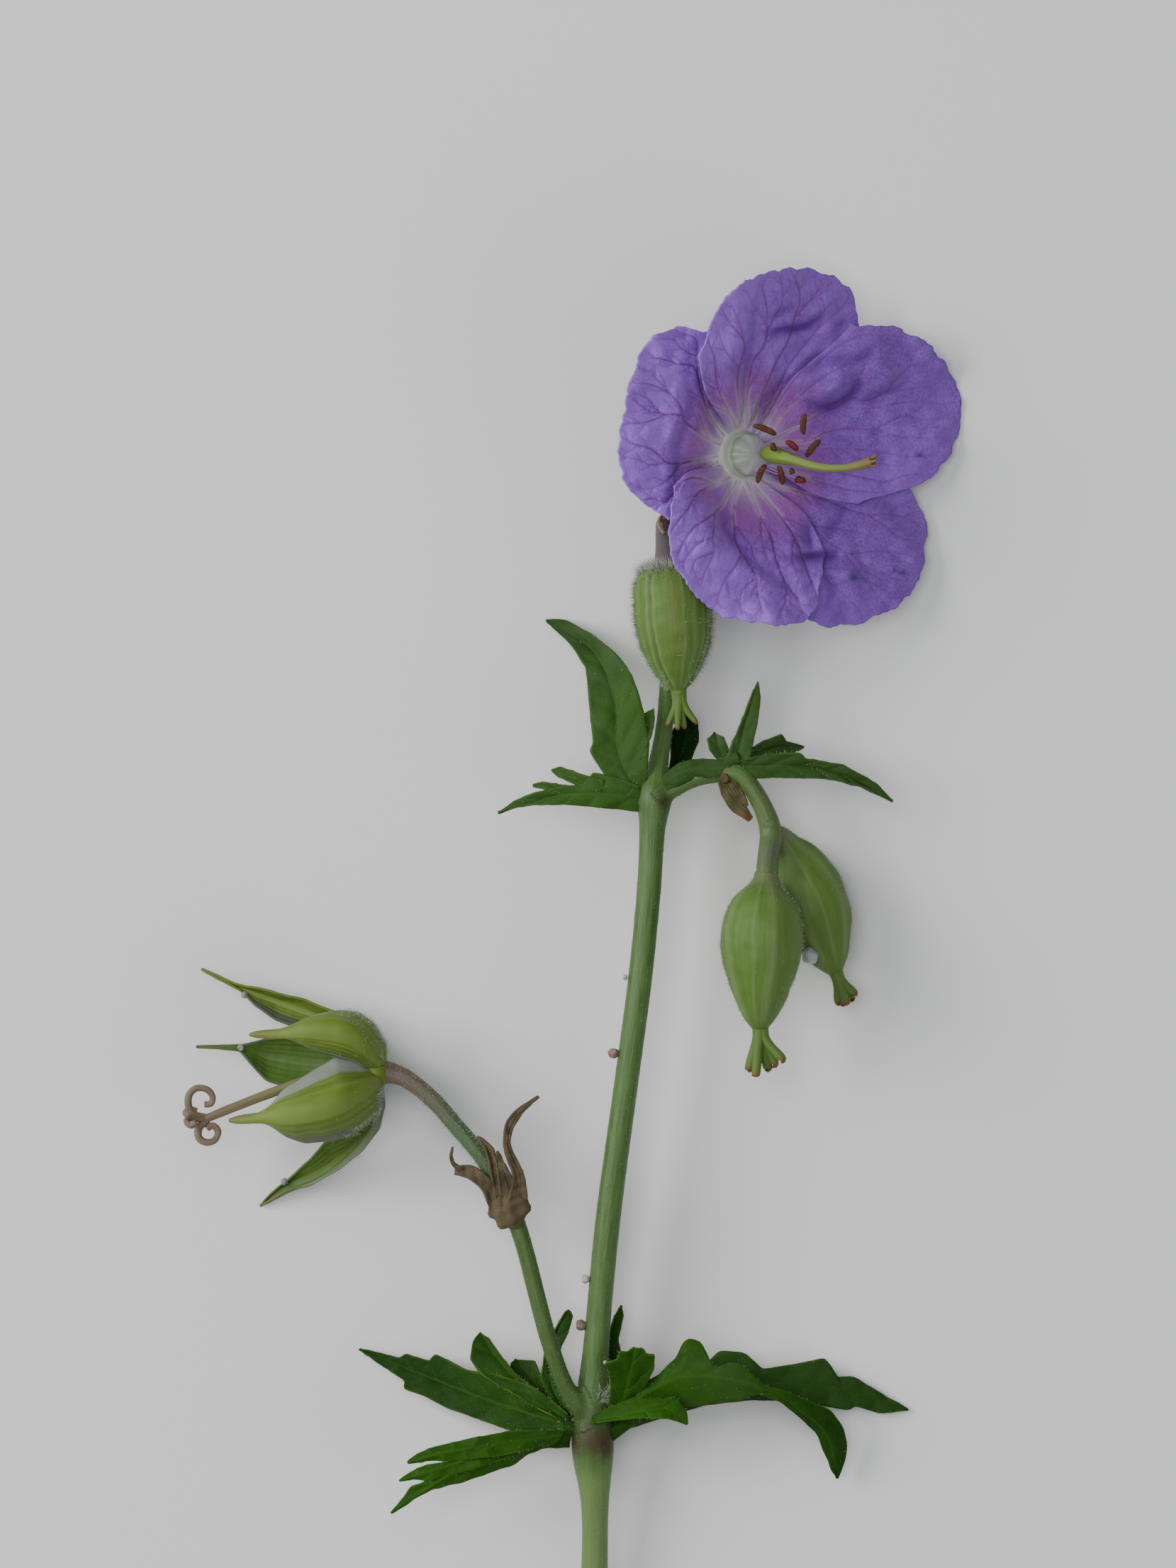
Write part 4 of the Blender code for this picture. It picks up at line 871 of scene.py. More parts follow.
# Veins as the camera sees them, each from the claw outwards
petalVeins = {
    "petalLeft": [
        [(15.6, 110.3), (13.5, 111.2), (10.9, 113), (10.5, 113.8), (8.8, 113.9), (6.7, 114.3), (4.9, 115.7)],
        [(8.8, 113.9), (6.9, 113.1), (5.4, 112.8), (4, 113.1)],
        [(10.5, 113.8), (10.2, 115), (9.1, 116.3), (7.6, 117.9), (6.5, 118.8), (5.2, 119)],
        [(9.1, 116.3), (7.4, 117.1), (5.4, 117.4), (4.4, 117.2)],
        [(15.6, 109.6), (12.7, 108.9), (10.2, 108.4), (8.8, 108.5), (8.1, 109.2), (6.7, 110.1), (4.9, 110.6),
         (3.6, 111.5)],
        [(10, 108.3), (9.4, 107.1), (7.8, 105.8), (6, 105.5), (4.6, 106.2)],
        [(8.7, 108.5), (7, 108.2), (5.5, 108.8), (3.6, 109.2)],
        [(15.6, 111.2), (13.8, 113.6), (12.8, 116), (12.2, 118.5), (11.7, 119.4), (9.9, 119.6), (8.8, 120),
         (7, 120.2)],
        [(12.2, 118.7), (12.1, 120.4), (11.3, 120.8), (10.3, 121.5), (9.4, 122.3), (7.6, 122.4)],
        [(12.2, 120.6), (12.1, 122.3), (11.2, 122.9), (9.9, 123.1)],
        [(15.4, 109.2), (12, 107), (9.6, 105), (8.8, 104.1), (7.3, 104.4), (5.8, 104.2)],
        [(9.4, 104.8), (7.8, 103.4), (6.9, 102.6)],
        [(13.6, 111.2), (12.8, 112.7), (12.4, 114)], [(8, 114), (6.6, 115.6), (5, 116.4)],
    ],
    "petalTop": [
        [(16.6, 112.6), (16.1, 113.8), (15.2, 115.4), (14.6, 116.8), (14.3, 118.3), (14.1, 120.4),
         (13.4, 122.3), (12.8, 123.6)],
        [(15.8, 114.3), (14.1, 114.9), (12.9, 116.3), (12.5, 117.8)],
        [(14.5, 116.8), (13.5, 117.2), (12.7, 118.4)],
        [(17.4, 113.2), (16.8, 116.5), (16.8, 118.7), (17.4, 121), (17.4, 122.3), (16.5, 123.5),
         (15.7, 124.5), (14.8, 126)],
        [(17.4, 122.3), (17.1, 123.7), (16.7, 124.9), (16, 126.4)],
        [(16.9, 119.2), (16.3, 119.9), (15.3, 121.3), (14.6, 123)],
        [(17.9, 113.5), (17.9, 116.5), (18.5, 119.8), (19.8, 121.8), (20.1, 123.7), (20, 126.4),
         (19.4, 128.6)],
        [(20.1, 124), (19.6, 124.8), (18.5, 126.3), (17.4, 128.4)],
        [(20.1, 123.7), (20.9, 124.9), (21.8, 126.7), (21.8, 128.6), (21.4, 129.8)],
        [(18.7, 113.5), (19, 115.4), (20.1, 117.6), (21.2, 120.1), (22.6, 122.6), (23.2, 125), (23.8, 126.7),
         (23.6, 128.4), (23.1, 129.8)],
        [(23.3, 125.1), (24.8, 126.7), (25.9, 128), (26.2, 129.3)],
        [(19.6, 113.6), (20.7, 115.7), (22.6, 119.6), (24.5, 122.1), (26.2, 124.3), (26.6, 125.7),
         (26.2, 127.8), (26.6, 129)],
        [(25.8, 123.7), (27.3, 124.9), (28.9, 126.5), (29.5, 127.6)], [(18, 117), (19, 118.4), (19.4, 120)],
    ],
    "petalRight": [
        [(20.1, 113), (22, 116.3), (24.3, 119.3), (26.7, 121.8), (29.2, 123.7), (31, 124.5)],
        [(20.7, 112.6), (23.7, 116), (26.5, 118.2), (29.5, 119.8), (32.5, 120.9), (34.7, 121.1),
         (37.6, 120.5)],
        [(25.6, 119.6), (27.8, 121.5), (30.6, 122.9), (33.4, 123), (35.6, 122.8)],
        [(20.9, 111.4), (23.4, 112.7), (25.6, 113.8), (28.4, 115.2), (30, 115.9), (31.1, 115.7),
         (33.4, 116.5), (34.5, 117.9), (36.4, 119.6), (38, 119.8)],
        [(30.6, 115.7), (32.5, 114.9), (35, 115.4), (37.8, 115.7), (40.4, 115)],
        [(29.8, 116), (30.3, 117.6), (32.5, 119.6), (34, 121.6)], [(33.4, 116.5), (36, 117), (39, 117.4)],
        [(21.2, 110.9), (24.5, 111), (27, 112.1), (29.2, 112.5), (32.5, 112.5), (35.3, 113.9), (38, 113.6),
         (41, 113.8)],
        [(32.5, 112.5), (35, 111.6), (38, 111.4), (40.6, 111.6)],
        [(21.6, 109.9), (28.4, 110.2), (32.5, 109.9), (36.4, 109.3), (39.4, 109.6)],
        [(21, 109), (25.6, 108.1), (29.8, 107.2), (33.4, 106.5), (35.8, 107.2), (38, 107.3)],
        [(21, 108.2), (24.5, 107), (28.4, 105.8), (31.5, 105.3), (35, 105.4)],
        [(28.5, 110.2), (31, 108.9), (34, 108.4), (37, 108.2)],
    ],
    "petalLowerRight": [
        [(20, 106.3), (22.9, 105.5), (26.7, 104.4), (29.5, 103.3), (31.7, 102.7), (33.4, 101.6), (35, 100.3),
         (36.6, 99.8)],
        [(31.7, 102.7), (33.9, 102.8), (36.4, 102.2), (38, 101)],
        [(19.9, 105.7), (22.3, 103.8), (24.8, 101.9), (27, 99.7), (29.8, 98.1), (31.7, 96.7), (33.9, 95.8),
         (36, 95.2)],
        [(29.8, 98.3), (32.5, 98.6), (35.6, 98.4), (37.8, 97.5)],
        [(25.4, 101.4), (28.4, 101.1), (31, 100.6), (33, 99.8)],
        [(19.4, 105.2), (21.2, 103), (22.9, 100.3), (24.8, 97.8), (26.5, 95.9), (28, 93.6), (28.6, 91.6)],
        [(28.9, 98.6), (30.3, 96.4), (31.7, 94.8), (33.2, 92.8), (33.6, 91.8)],
        [(31.4, 95.3), (33.6, 94.2), (35.4, 93.2)], [(26.4, 96), (27.4, 94.9), (30.4, 92.2), (30.8, 90.8)],
        [(33.9, 102.8), (35.4, 104), (37.2, 104.4)],
    ],
    "petalLowerLeft": [
        [(16.3, 107.1), (14.3, 106.1), (12.7, 105.4), (11.8, 104.4), (11.1, 103.2), (10.2, 102.1),
         (9.2, 100.8)],
        [(14, 106.2), (11.8, 106.8), (10.5, 106.2), (9.4, 104.7)],
        [(16.7, 106.5), (14.8, 103.6), (13.5, 102.3), (11.8, 101.1), (10.6, 99.4), (9.9, 98)],
        [(14.1, 102.8), (14, 100.8), (13.9, 100), (14, 98.3), (12.9, 95.8), (12.6, 94.4)],
        [(13.9, 100), (12.4, 99.4), (11, 97.8), (10.5, 96.6)], [(13.9, 98.4), (12.1, 97.5), (11.4, 96)],
        [(17.1, 106.4), (16.4, 104.1), (16.4, 101.6), (16.7, 99.2), (17.9, 97.2), (18.9, 95.6), (19, 94),
         (19.6, 91.6)],
        [(17.2, 98.3), (16.4, 96.6), (15.4, 95.4), (14.6, 93.6), (14.3, 92.4)],
        [(18.9, 95.6), (17.4, 94.2), (17.1, 92.8), (17.3, 91.4)],
        [(16.5, 101.4), (18.2, 99.4), (18.6, 98.1), (19.8, 96)],
        [(17.9, 106.3), (19.3, 102.7), (20.5, 100.3), (21.2, 97.5), (22.2, 95), (22.2, 93.2), (21.4, 91)],
        [(22.2, 95), (23.4, 93.4), (24, 92), (24.3, 91)],
        [(18.8, 106), (21.5, 102.7), (23, 100.5), (24, 98), (24.8, 95.9), (25.6, 94), (26, 92.4)],
        [(23.2, 100), (23, 97.6), (23.8, 95.2)], [(19.4, 102.6), (19.6, 99.6), (20.4, 97)],
    ],
}
veinValues = {"wide": 0.19, "slim": 0.145, "fine": 0.11, "finest": 0.09, "every": (0.8, 1.5),
              "reach": (1.0, 2.6), "step": 0.07, "bends": ((0.35, 1), (0.7, 0.8), (1.0, 0.55))}


def petalPoints(u, v, form, ragged, values=flowerValues):
    _, middle, halfSpan, rims, clockwise, anticlockwise, bendFrom, bend = form
    rim = along(rims, (u + 1) / 2)[:, 0] - ragged
    radius = values["claw"] + (rim - values["claw"]) * v
    fan = 0.95 + 0.05 * smooth(radius, 2, 5) + values["fan"] * bump(radius - 8.5, 4.8)
    angle = np.radians(middle + u * halfSpan * fan)
    lap = np.where(u > 0, anticlockwise, clockwise)
    layer = 0.75 * lap * smooth(np.abs(u), 0.1, 0.45) * smooth(radius, 2, 5)
    rise = values["rise"] * radius * (1 - radius / values["flatten"])
    flatSide = 1 - smooth(u, 0, 0.5) if anticlockwise > 0 else 1
    back = bend * np.maximum(radius - bendFrom, 0) ** 1.6 * flatSide
    return flowerPoints(radius, angle, rise + layer - back), radius, angle


def growVeins(lines, rng, values=veinValues):   # the veins with small ones that branch off, as x, y, width
    grown = []

    def grow(points, width, level):
        length = lengths(np.diff(along(points, np.linspace(0, 1, 60)), axis=0)).sum()
        shares = np.linspace(0, 1, max(int(length / values["step"]), 4))
        line = along(points, shares)
        grown.append(np.column_stack([line, width * (1 - 0.4 * shares)]))
        if level > 1:
            return
        way, at = rng.choice((-1, 1)), rng.uniform(0.3, 1.0)
        if level == 0 and width > values["slim"]:
            at += 2.5
        while at < length - 0.2:
            index = int(at / length * (len(line) - 2))
            heading = math.atan2(*(line[index + 1] - line[index])[::-1])
            turn, reach = rng.uniform(0.6, 1.05) * way, rng.uniform(*values["reach"]) * (0.45 if level else 1)
            spots, before = [line[index]], 0
            for share, part in values["bends"]:
                aim = heading + turn * part
                spots.append(spots[-1] + np.array((math.cos(aim), math.sin(aim))) * reach * (share - before))
                before = share
            grow(spots, values["finest"] if level else values["fine"], level + 1)
            way = -way
            at += rng.uniform(*values["every"]) * (0.6 if level else 1)

    for points in lines:
        fromClaw = math.dist(points[0], flowerValues["seat"][:2]) < 5
        grow(points, values["wide"] if fromClaw else values["slim"], 0)
    return np.concatenate(grown)


def foldsAt(spots):
    rise, shade = np.zeros(len(spots)), np.zeros(len(spots))
    for points, height, leftWidth, rightWidth, dark in petalFolds:
        line = along(points, np.linspace(0, 1, 28))
        way = unit(np.gradient(line, axis=0))
        gap = spots[:, None, :2] - line[None]
        near = np.argmin((gap ** 2).sum(axis=2), axis=1)
        gap = gap[np.arange(len(spots)), near]
        left = way[near, 0] * gap[:, 1] - way[near, 1] * gap[:, 0] > 0
        fade = np.sin(math.pi * np.clip((near + 1.5) / 30, 0, 1)) ** 0.6
        share = bump(np.hypot(*gap.T), 0.85 * np.where(left, leftWidth, rightWidth)) * fade
        rise += height * share
        shade += 1.15 * dark * share ** 2
    return rise, shade


def petalMaterial(values):
    material, tree, shader, where = surface("petalViolet", 0.55, Specular_IOR_Level=0.25, Sheen_Weight=0.15,
                                            Sheen_Roughness=0.4)
    tone, fine = mottled(tree, where, 120.0, Low=0.2, High=0.8), mottled(tree, where, 3600.0)
    streak, cells = streaks(tree, 1.3), grouped(tree, "cells", where, 6500.0)
    net = add(tree, "ShaderNodeTexVoronoi", {"Vector": reading(tree, "fibre", "Vector"), "Scale": 1.15},
              feature="DISTANCE_TO_EDGE")
    mesh = spread(tree, net.outputs["Distance"], 0.0, 0.07, 1.0, 0.0)
    shade = worked(tree, "ADD", reading(tree, "shade"), spread(tree, tone, 0, 1, -0.1, 0.1))
    pleats = times(tree, streak, reading(tree, "pleats"))
    blush = times(tree, reading(tree, "blush"), spread(tree, streak, 0, 1, 0.45, 1.15))
    ray = times(tree, reading(tree, "ray"), spread(tree, streak, 0, 1, 1.05, 0.8))
    colour = layered(tree, blend(tree, shade, values["light"], values["deep"]),
                     (pleats, values["deep"], 0.55), (fine, values["deep"], 0.16),
                     # painted highlight: the cell mask paints small bright glints in the sparkle tone
                     (cells["Mask"], values["sparkle"], 0.26), (blush, values["pink"]),
                     (mesh, values["vein"], 0.07),
                     ("creaseShade", values["creaseShade"]), ("under", values["under"], 0.5), (ray, values["pale"]),
                     ("clawVein", values["clawVein"]), ("vein", values["vein"]), ("spot", values["spot"]))
    height = worked(tree, "SUBTRACT", cells["Height"], times(tree, mesh, 0.3))
    height = worked(tree, "SUBTRACT", height, times(tree, pleats, 1.6))
    coat(tree, shader, colour, height, 0.05, 0.9, (cells["Mask"], 0.48, 0.66))
    return material


def buildPetal(name, form, order, values, material):
    piece, u, v = sheet(name, values["columns"], values["rows"])
    rimLine = np.linspace(-1, 1, 400)
    rimSpots = np.stack([rimLine * form[2] * 0.33, np.zeros(400)], 1)
    wave = swell(rimSpots, 2.6, order) * 0.6 + swell(rimSpots, 1.1, order + 9) * 0.25
    ragged = values["ripple"] * (0.55 + np.interp(u, rimLine, wave)) * (1 - smooth(np.abs(u), 0.9, 1))
    spots, radius, angle = petalPoints(u, v, form, np.maximum(ragged, 0))
    veins = growVeins(petalVeins[name], np.random.default_rng(40 + order))
    near, gap = nearest(veins * (1, 1, 0), spots * (1, 1, 0))
    width = veins[near, 2]
    vein = bump(gap, np.maximum(width, 0.12)) * smooth(width, 0.02, 0.19)
    inner = 1 - smooth(radius, 4, 9)
    clear = values["veinClear"][order] * (1 - inner) * (1 - 0.4 * smooth(v, 0.94, 1))
    note(piece, "vein", np.clip(vein * clear, 0, 1))
    note(piece, "clawVein", np.clip(0.65 * vein * inner, 0, 0.65))
    longer = (1 - smooth(radius, 6, 12)) * smooth(width, 0.1, 0.19)   # rays reach on along the wide veins
    # pale rays round the claw: partly their own whitish colour, partly painted light that lifts the shade of
    # the cup round the dome
    note(piece, "ray", np.clip(1.75 * bump(radius, 3.5) + 0.5 * bump(gap, 0.3) * longer, 0, 0.95))
    note(piece, "blush", np.clip(0.85 * bump(radius - 6.8, 3), 0, 1))
    note(piece, "pleats", smooth(radius, 1.5, 3) * (1 - smooth(radius, 9, 14)))
    noteVector(piece, "fibre", angle * 9, radius * 0.55, np.full(len(u), order * 7.0))
    rise, shade = foldsAt(spots)
    # painted shade: the folds darken their creases
    note(piece, "creaseShade", np.clip(shade, 0, 0.8))
    # painted shade: darker to the right, in the cup and on the listed patches; painted light on the patches
    # below 0
    far = 0.68 * smooth(spots[:, 0], 14, 24) + 0.25 * smooth(spots[:, 0], 27, 35)
    for middle, reach, deeper in petalShadePatches:
        far = far + deeper * bump(lengths(spots[:, :2] - middle), reach)
    note(piece, "shade", np.clip(far + 0.5 * (1 - smooth(radius, 8, 13.5)), 0, 1))
    spotMask = sum(bump(np.hypot(spots[:, 0] - s[0], (spots[:, 1] - s[1]) * 1.4), r) for s, r in petalSpots)
    note(piece, "spot", np.clip(spotMask * 0.9, 0, 0.85))
    swells = 0.3 * swell(spots[:, :2], 7, 2) + 0.15 * swell(spots[:, :2], 3.2, 5)
    rise = rise * values["folds"] * smooth(radius, 3, 8) + smooth(radius, 4, 12) * swells
    puff = values["puff"][order] * (1 - bump(gap, 0.6) * smooth(width, 0.06, 0.15)) * smooth(radius, 3, 8)
    rim = 0.25 * swell(np.stack([angle * 20, radius * 0.4], 1), 5, order + 20) * smooth(v, 0.75, 1)
    spots[:, 2] = np.maximum(spots[:, 2] + rise + (puff - values["veinDepth"] * vein) + rim, values["lowest"])
    moveCorners(piece, spots)
    applied(piece, "SOLIDIFY", thickness=values["thick"] * mm, offset=0.0)
    noteUnder(facingOut(piece), flowerUp)
    return dress(piece, form[0], material)


petalViolet = petalMaterial(flowerValues)
for order, (petalName, form) in enumerate(petalForms.items()):
    buildPetal(petalName, form, order, flowerValues, petalViolet)
print("petals built")

# Calyx parts: the open flower's sepals, the three buds and the fading flower
calyxValues = {
    "light": (0.135, 0.20, 0.022), "deep": (0.070, 0.125, 0.011), "rib": (0.18, 0.235, 0.055),
    "silver": (0.25, 0.27, 0.24), "tip": (0.18, 0.14, 0.065), "under": (0.048, 0.108, 0.02),
    "veil": (0.075, 0.085, 0.065), "groove": (0.07, 0.105, 0.035), "shoulder": (0.123, 0.125, 0.067),
}
budValues = dict(calyxValues, light=(0.098, 0.178, 0.032), deep=(0.05, 0.112, 0.015), rib=(0.16, 0.235, 0.08),
                 tip=(0.16, 0.075, 0.02))


def calyxMaterial(name, values, silvered=False):
    material, tree, shader, where = surface(name, 0.5, Specular_IOR_Level=0.25)
    tone, streak = mottled(tree, where, 330.0), streaks(tree, 2.6)
    cells = grouped(tree, "cells", where, 4600.0)["Height"]
    layers = [(tone, values["light"], 0.4), ("vein", values["rib"], 0.6), ("groove", values["groove"])]
    if silvered:
        layers += [("under", values["under"], 0.8), ("veil", values["veil"], 0.85),
                   ("silver", values["silver"], 0.85)]
    else:
        layers.append(("shoulder", values["shoulder"]))
    colour = blend(tree, spread(tree, streak, 0, 1, 0.45, 0.95), values["deep"], values["light"])
    colour = layered(tree, colour, *layers, ("tip", values["tip"]))
    height = worked(tree, "ADD", streak, times(tree, cells, 0.4))
    coat(tree, shader, colour, height, 0.035, 0.5, (tone, 0.42, 0.58))
    return material


calyxGreen = calyxMaterial("calyxGreen", budValues)
sepalGreen = calyxMaterial("sepalGreen", calyxValues, silvered=True)
openCalyxForms = {
    "degrees": (50, 125, 209, 286, 347), "lengths": (1.0, 1.0, 0.83, 1.0, 1.0),
    "widths": (1.2, 2.2, 2.0, 0.5, 0.12), "nerves": ((0.33, 0.16), (0.62, 0.14)),
    "profile": ((1, -0.9), (4.5, -0.95), (9, -0.3), (13.4, 0.2), (13.9, 0.25)),   # distance out and height
}


def openCalyx(forms):
    centre, turn, share = ball("receptacle", 32, 18)
    across = 1.9 * np.sin(share * math.pi) * (1 + 0.05 * np.cos(5 * turn))
    moveCorners(centre, roundSeat(-0.95, turn, across, 0.95 * np.cos(share * math.pi)))
    parts = [centre]
    for order, (degrees, long) in enumerate(zip(forms["degrees"], forms["lengths"])):
        rib = [flowerPoints(r * long, math.radians(degrees), h) for r, h in forms["profile"]]
        edges = evenEdges(rib, forms["widths"], flowerUp)
        parts.append(blade("sepal", rib, *edges, bulge=-0.25, columns=18, rows=44, thick=0.4, seed=order,
                           nerves=forms["nerves"], pinnate=0, crinkle=0.02))
    piece = joined(parts, "openCalyx")
    note(piece, "tip", smooth(lengths(layoutSpots(piece) - flowerPoints(0, 0, 0)), 12, 13.6))
    noteUnder(piece, flowerUp)
    dress(piece, "open_calyx", sepalGreen)
    hairs("openCalyxHairs", piece, "calyx", 700, 0.7, 0.04, seed=21,
          keep=lambda spot, out: out @ flowerUp < -0.2)


openCalyx(openCalyxForms)

# The middle line, its radii at even steps, edges and nerves in degrees round the bud from straight up
budForms = {
    "budFront": {
        "node": "bud_front", "line": [(9.2, 97.2, 10), (10.2, 82.3, 10)], "widest": 4.4, "blunt": 3.0,
        "edges": (37, 115, 180, 250, 302), "nerves": (-16, 62, -35), "edgeWidth": 0.22, "groove": 0.16,
        "olive": 0.2, "awns": [(9.1, 79, 10.4), (10.1, 78.6, 11), (10.8, 78.7, 10.4), (12, 79.2, 10.4),
                               (9.8, 79.3, 9)],
        "awnRadii": (0.8, 0.5, 0.3, 0.22), "hairs": (3000, 0.85), "shoulder": 0.05},
    "budMiddle": {
        "node": "bud_middle",
        "line": [(20.1, 62.4, 11.2), (19.6, 56.5, 11.7), (19.4, 50.5, 11.7), (19.3, 44.6, 11.6)],
        "radii": (1.3, 1.7, 3.5, 4.35, 4.6, 4.55, 4.2, 3.6, 2.8, 1.8, 0.8), "edges": (-15, 57, 129, 201, 273),
        "nerves": (12,), "edgeWidth": 0.5, "groove": 0.05, "olive": 0.0,
        "awns": [(18.2, 40.2, 11.8), (18.9, 39.6, 12.4), (20.2, 40.2, 11), (21.7, 41.2, 12),
                 (20.9, 40.7, 11.2)],
        "awnRadii": (0.85, 0.56, 0.5, 0.36), "hairs": (900, 0.5), "shoulder": 0.12},
    "budRear": {
        "node": "bud_rear",
        "line": [(20.9, 67, 9.1), (22.3, 65, 6.6), (24, 61.9, 5.2), (26, 56.5, 4.8), (28, 50.9, 4.6)],
        "radii": (0.95, 1.4, 2.1, 3.0, 3.8, 4.2, 3.95, 2.6, 0.8), "edges": (-50, 22, 94, 166, 238),
        "nerves": (-14,), "edgeWidth": 0.5, "groove": 0.05, "olive": 0.0,
        "awns": [(28.4, 47.6, 4.4), (29.2, 47.6, 5.2), (30, 48.5, 4.6), (29.7, 48, 3.8), (28.9, 47.5, 3.6)],
        "awnRadii": (0.85, 0.56, 0.5, 0.36), "hairs": (600, 0.5), "shoulder": 0.16},
}


def budRadius(share, form, widestAt=0.42):
    if "radii" in form:
        return along(form["radii"], share)[:, 0]
    widest, blunt = form["widest"], form["blunt"]
    shoulder = widest * (1 - np.clip((widestAt - share) / widestAt, 0, 1) ** blunt) ** (1 / blunt)
    slim = widest * np.maximum(np.cos(math.pi / 2 * (share - widestAt) / (1 - widestAt)), 0)
    return np.maximum(np.where(share < widestAt, shoulder, slim), 0.75)


def buildBud(name, form, order):
    line = along(form["line"], np.linspace(0, 1, 60))
    ways = unit(np.gradient(line, axis=0))
    axis, top, end = ways[-1], line[0], line[-1]
    body, turn, share = ball(name, 120, 80)
    at = np.minimum((share * 59).astype(int), 58)
    part = (share * 59 - at)[:, None]
    middle = line[at] * (1 - part) + line[at + 1] * part
    ahead = unit(ways[at] * (1 - part) + ways[at + 1] * part)
    across = unit(np.array((0, 0, 1)) - ahead * ahead[:, 2:3])
    length = lengths(np.diff(line, axis=0)).sum()
    radius = budRadius(share, form) * ((share > 0.001) & (share < 0.999))
    degrees = np.degrees(turn + 0.03 * swell(np.stack([share * 10, turn * 0], axis=1), 4, order))

    def ridges(places, width, aside=0.0):
        gaps = [np.abs((degrees - spot + 180) % 360 - 180) for spot in places]
        return bump(np.radians(np.min(gaps, axis=0)) * radius - aside, width)

    ends = smooth(share, 0.02, 0.12) * (1 - smooth(share, 0.85, 1))
    ribbed = form["groove"] > 0.1   # sepals that meet in a groove between two raised borders
    groove = ridges(form["edges"], 0.22) * ends
    border = ridges(form["edges"], form["edgeWidth"], 0.45 if ribbed else 0.0) * ends
    nerve = ridges(form["nerves"], 0.18) * ends
    radius = radius + 0.07 * nerve + 0.09 * border - form["groove"] * groove
    flat = outward(across, np.cross(ahead, across), turn)
    spots = middle + flat * radius[:, None]
    moveCorners(body, spots + flat * (0.06 * swell(spots, 2.8, order) * ends)[:, None])
    facingOut(body)
    note(body, "vein", np.clip(0.75 * nerve + border, 0, 1))
    # painted shade: darker down the sunk groove where two sepals meet
    note(body, "groove", 0.7 * groove * ribbed)
    note(body, "shoulder", 0.65 * (1 - smooth(share, form["shoulder"] * 0.5, form["shoulder"] * 1.5)))
    note(body, "tip", form["olive"] * bump(degrees + 4, 14) * bump(share - 0.35, 0.3))
    noteVector(body, "fibre", np.cos(turn) * 4, np.sin(turn) * 4, share * length * 0.1)
    parts = [body]
    for index, tip in enumerate(form["awns"]):
        side = tip - end - axis * np.dot(tip - end, axis)
        spine = [end - axis * 1.6 + side * 0.1, end + axis * 0.9 + side * 0.22, tip - axis * 0.3, tip]
        route = [(*spot, size) for spot, size in zip(spine, form["awnRadii"])]
        awn = stalk("awn", route, 12, 0.25, ribs=2, ribDepth=0.08, uneven=0.05, seed=index)
        note(awn, "tip", 0.05 + 0.85 * smooth(readBack(awn, "share"), 0.6, 0.82))
        parts.append(awn)
    piece = dress(joined(parts, name), form["node"], calyxGreen)
    hairs(name + "Hairs", piece, "calyx", *form["hairs"], 0.038, lean=-axis * 0.1, seed=31 + order,
          keep=lambda spot, out: (0.03 + 0.9 * (np.abs(out[:, 2]) < 0.25)
                                  + 0.9 * smooth((spot - top) @ axis, 2.5, 0) * (order == 0))
          * (((spot - end) @ axis) < -1))
    return piece


for order, (budName, form) in enumerate(budForms.items()):
    bud = buildBud(budName, form, order)
    if budName == "budFront":
        hairs("budWool", bud, "calyx", 600, 1.2, 0.05, lean=(-0.5, 0.5, 0), seed=77, curl=0.8,
              keep=lambda spot, out: smooth(spot[:, 1], 95.4, 96.8) * (1.05 - smooth(spot[:, 0], 7, 10)))
print("buds built")

